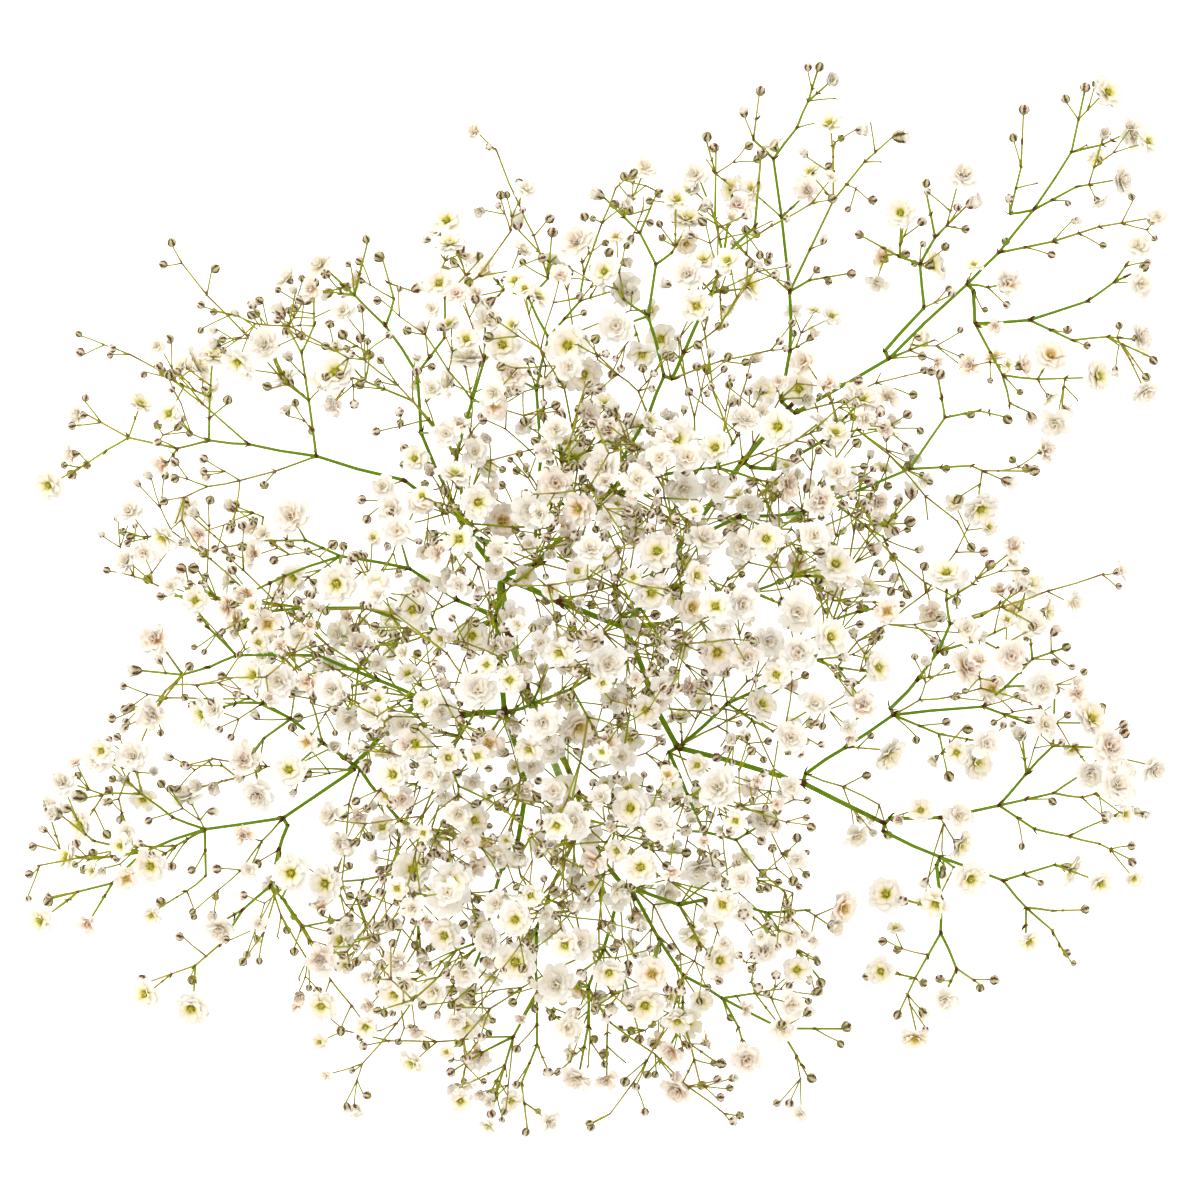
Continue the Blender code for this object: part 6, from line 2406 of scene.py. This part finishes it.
@dataclass(frozen=True)
class StemFinish:
    """Bright green stems with a paler flank, olive or tan where they are thin, red-brown at the nodes."""

    green: Colour = (0.12, 0.23, 0.003)
    leaf: Colour = (0.19, 0.27, 0.005)
    waxy: Colour = (0.28, 0.40, 0.12)
    olive: Colour = (0.31, 0.32, 0.003)
    tan: Colour = (0.40, 0.30, 0.04)
    node: Colour = (0.085, 0.025, 0.006)
    thin_node: Colour = (0.20, 0.13, 0.02)
    pith: Colour = (0.62, 0.66, 0.42)
    fibre_scale: tuple = (2.2, 2.2, 0.12)
    mottle_scale: float = 350.0
    tan_ramp: tuple = (0.5, 0.9)
    green_ramp: tuple = (0.08, 0.32)
    leaf_ramp: tuple = (0.45, 0.7, 0.0, 0.6)
    coat_ramp: tuple = (0.9, 1.0)
    rubbed_ramp: tuple = (0.25, 0.6, 0.4, 0.9)
    stout_ramp: tuple = (0.3, 0.6)
    fleck_ramp: tuple = (0.55, 0.75, 0.0, 0.25)
    ragged_ramp: tuple = (0.3, 0.7, -0.25, 0.2)
    brown_ramp: tuple = (0.35, 0.85)
    dark_ramp: tuple = (0.15, 0.45)
    fibre_rise: tuple = (0.35, 0.0001)
    rough_ramp: tuple = (0.2, 0.8, 0.5, 0.7)
    specular: float = 0.06

    def make(self) -> bpy.types.Material:
        """Make the material.

        Returns:
            The material.
        """
        recipe = Recipe("stem")
        thickness, node, shade, cut = recipe.tone()
        fibres = recipe.noise(recipe.grain(self.fibre_scale))
        mottle = recipe.noise(recipe.place(self.mottle_scale))
        thin = recipe.mix(recipe.ramp(shade, *self.tan_ramp), self.olive, self.tan)
        colour = recipe.mix(recipe.ramp(thickness, *self.green_ramp), thin, self.green)
        colour = recipe.mix(recipe.ramp(fibres, *self.leaf_ramp), colour, self.leaf)
        coat = recipe.times(recipe.ramp(shade, *self.coat_ramp), recipe.ramp(mottle, *self.rubbed_ramp))
        colour = recipe.mix(recipe.times(coat, recipe.ramp(thickness, *self.stout_ramp)), colour, self.waxy)
        colour = recipe.mix(recipe.ramp(mottle, *self.fleck_ramp), colour, self.node)
        brown = recipe.ramp(recipe.sum_of(node, recipe.ramp(mottle, *self.ragged_ramp)), *self.brown_ramp)
        spot = recipe.mix(recipe.ramp(thickness, *self.dark_ramp), self.thin_node, self.node)
        colour = recipe.mix(brown, colour, spot)
        colour = recipe.mix(cut, colour, self.pith)
        recipe.bump(fibres, *self.fibre_rise)
        return recipe.finish(colour, recipe.ramp(mottle, *self.rough_ramp), specular_ior_level=self.specular)


@dataclass
class Finishes:
    """The materials of the plant."""

    stem: bpy.types.Material
    petal: bpy.types.Material
    calyx: bpy.types.Material


@dataclass(frozen=True)
class Studio:
    """A white floor, soft light from all round, and a camera that looks straight down."""

    middle: tuple = (2.0, 0.0)
    frame_width: float = 300.0
    sharp_height: float = 45.0
    camera_rise: float = 2000.0
    sensor: float = 36.0
    floor_side: float = 6.0
    floor_white: Colour = (0.85, 0.85, 0.84)
    floor_glow: float = 1.3
    sky: float = 1.14
    sky_white: Colour = (1.0, 0.982, 0.945)
    key_power: float = 10.0
    key_side: float = 1.0
    key_place: tuple = (-0.9, 0.8, 1.6)
    floor_drop: float = 0.0002
    floor_roughness: float = 0.9
    floor_specular: float = 0.1
    clip: tuple = (0.1, 20.0)

    def build(self) -> None:
        """Lay the floor, hang the lights and set the camera."""
        self.lay_floor()
        self.light()
        self.set_camera()
        bpy.context.scene.view_settings.view_transform = "Standard"
        LOG.info("studio: floor, sky, one soft light and the camera")

    def lay_floor(self) -> None:
        """A white floor, a hair below the plant, that gives back light like a lit table."""
        half = self.floor_side / 2
        mesh = bpy.data.meshes.new("floor")
        mesh.from_pydata([(-half, -half, 0.0), (half, -half, 0.0), (half, half, 0.0), (-half, half, 0.0)], [],
                         [(0, 1, 2, 3)])
        floor = bpy.data.objects.new("floor", mesh)
        bpy.context.scene.collection.objects.link(floor)
        floor.location.z = -self.floor_drop
        recipe = Recipe("floor")
        mesh.materials.append(recipe.finish(self.floor_white, self.floor_roughness,
                                            specular_ior_level=self.floor_specular,
                                            emission_color=(*self.floor_white, 1.0),
                                            emission_strength=self.floor_glow))

    def light(self) -> None:
        """A white sky all round and one large soft light over the far left."""
        world = bpy.data.worlds.new("studio")
        world.use_nodes = True
        back = world.node_tree.nodes["Background"]
        back.inputs["Color"].default_value = (*self.sky_white, 1.0)
        back.inputs["Strength"].default_value = self.sky
        bpy.context.scene.world = world
        key = bpy.data.lights.new("key", "AREA")
        key.shape = "DISK"
        key.size = self.key_side
        key.energy = self.key_power
        lamp = bpy.data.objects.new("key", key)
        lamp.location = self.key_place
        lamp.rotation_mode = "QUATERNION"
        lamp.rotation_quaternion = (-lamp.location).to_track_quat("-Z", "Y")
        bpy.context.scene.collection.objects.link(lamp)

    def set_camera(self) -> None:
        """A long lens straight over the middle of the photograph's frame."""
        lens = bpy.data.cameras.new("camera")
        lens.sensor_width = self.sensor
        lens.lens = self.sensor * self.camera_rise / self.frame_width
        camera = bpy.data.objects.new("camera", lens)
        height = (self.camera_rise + self.sharp_height) * METRES
        camera.location = (self.middle[0] * METRES, self.middle[1] * METRES, height)
        lens.clip_start, lens.clip_end = self.clip
        bpy.context.scene.collection.objects.link(camera)
        bpy.context.scene.camera = camera


def main() -> None:
    """Grow the plant, dress every node, and set up the studio."""
    logging.basicConfig(level=logging.INFO, format="%(message)s")
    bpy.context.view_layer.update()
    plant = Panicle()
    plant.grow()
    LOG.info("grown: %d stalks", sum(len(branch.stalks) for branch in plant.nodes.values()))
    LOG.info("twigs: %d more stalks", Twigs().grow(plant))
    heads = HeadStore()
    finishes = Finishes(StemFinish().make(), PetalFinish().make(), CalyxFinish().make())
    for name, branch in plant.nodes.items():
        pieces = Dressing(branch).build(heads, finishes)
        LOG.info("%s: %d pieces", name, len(pieces))
    Studio().build()
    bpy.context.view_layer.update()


if __name__ == "__main__":
    main()
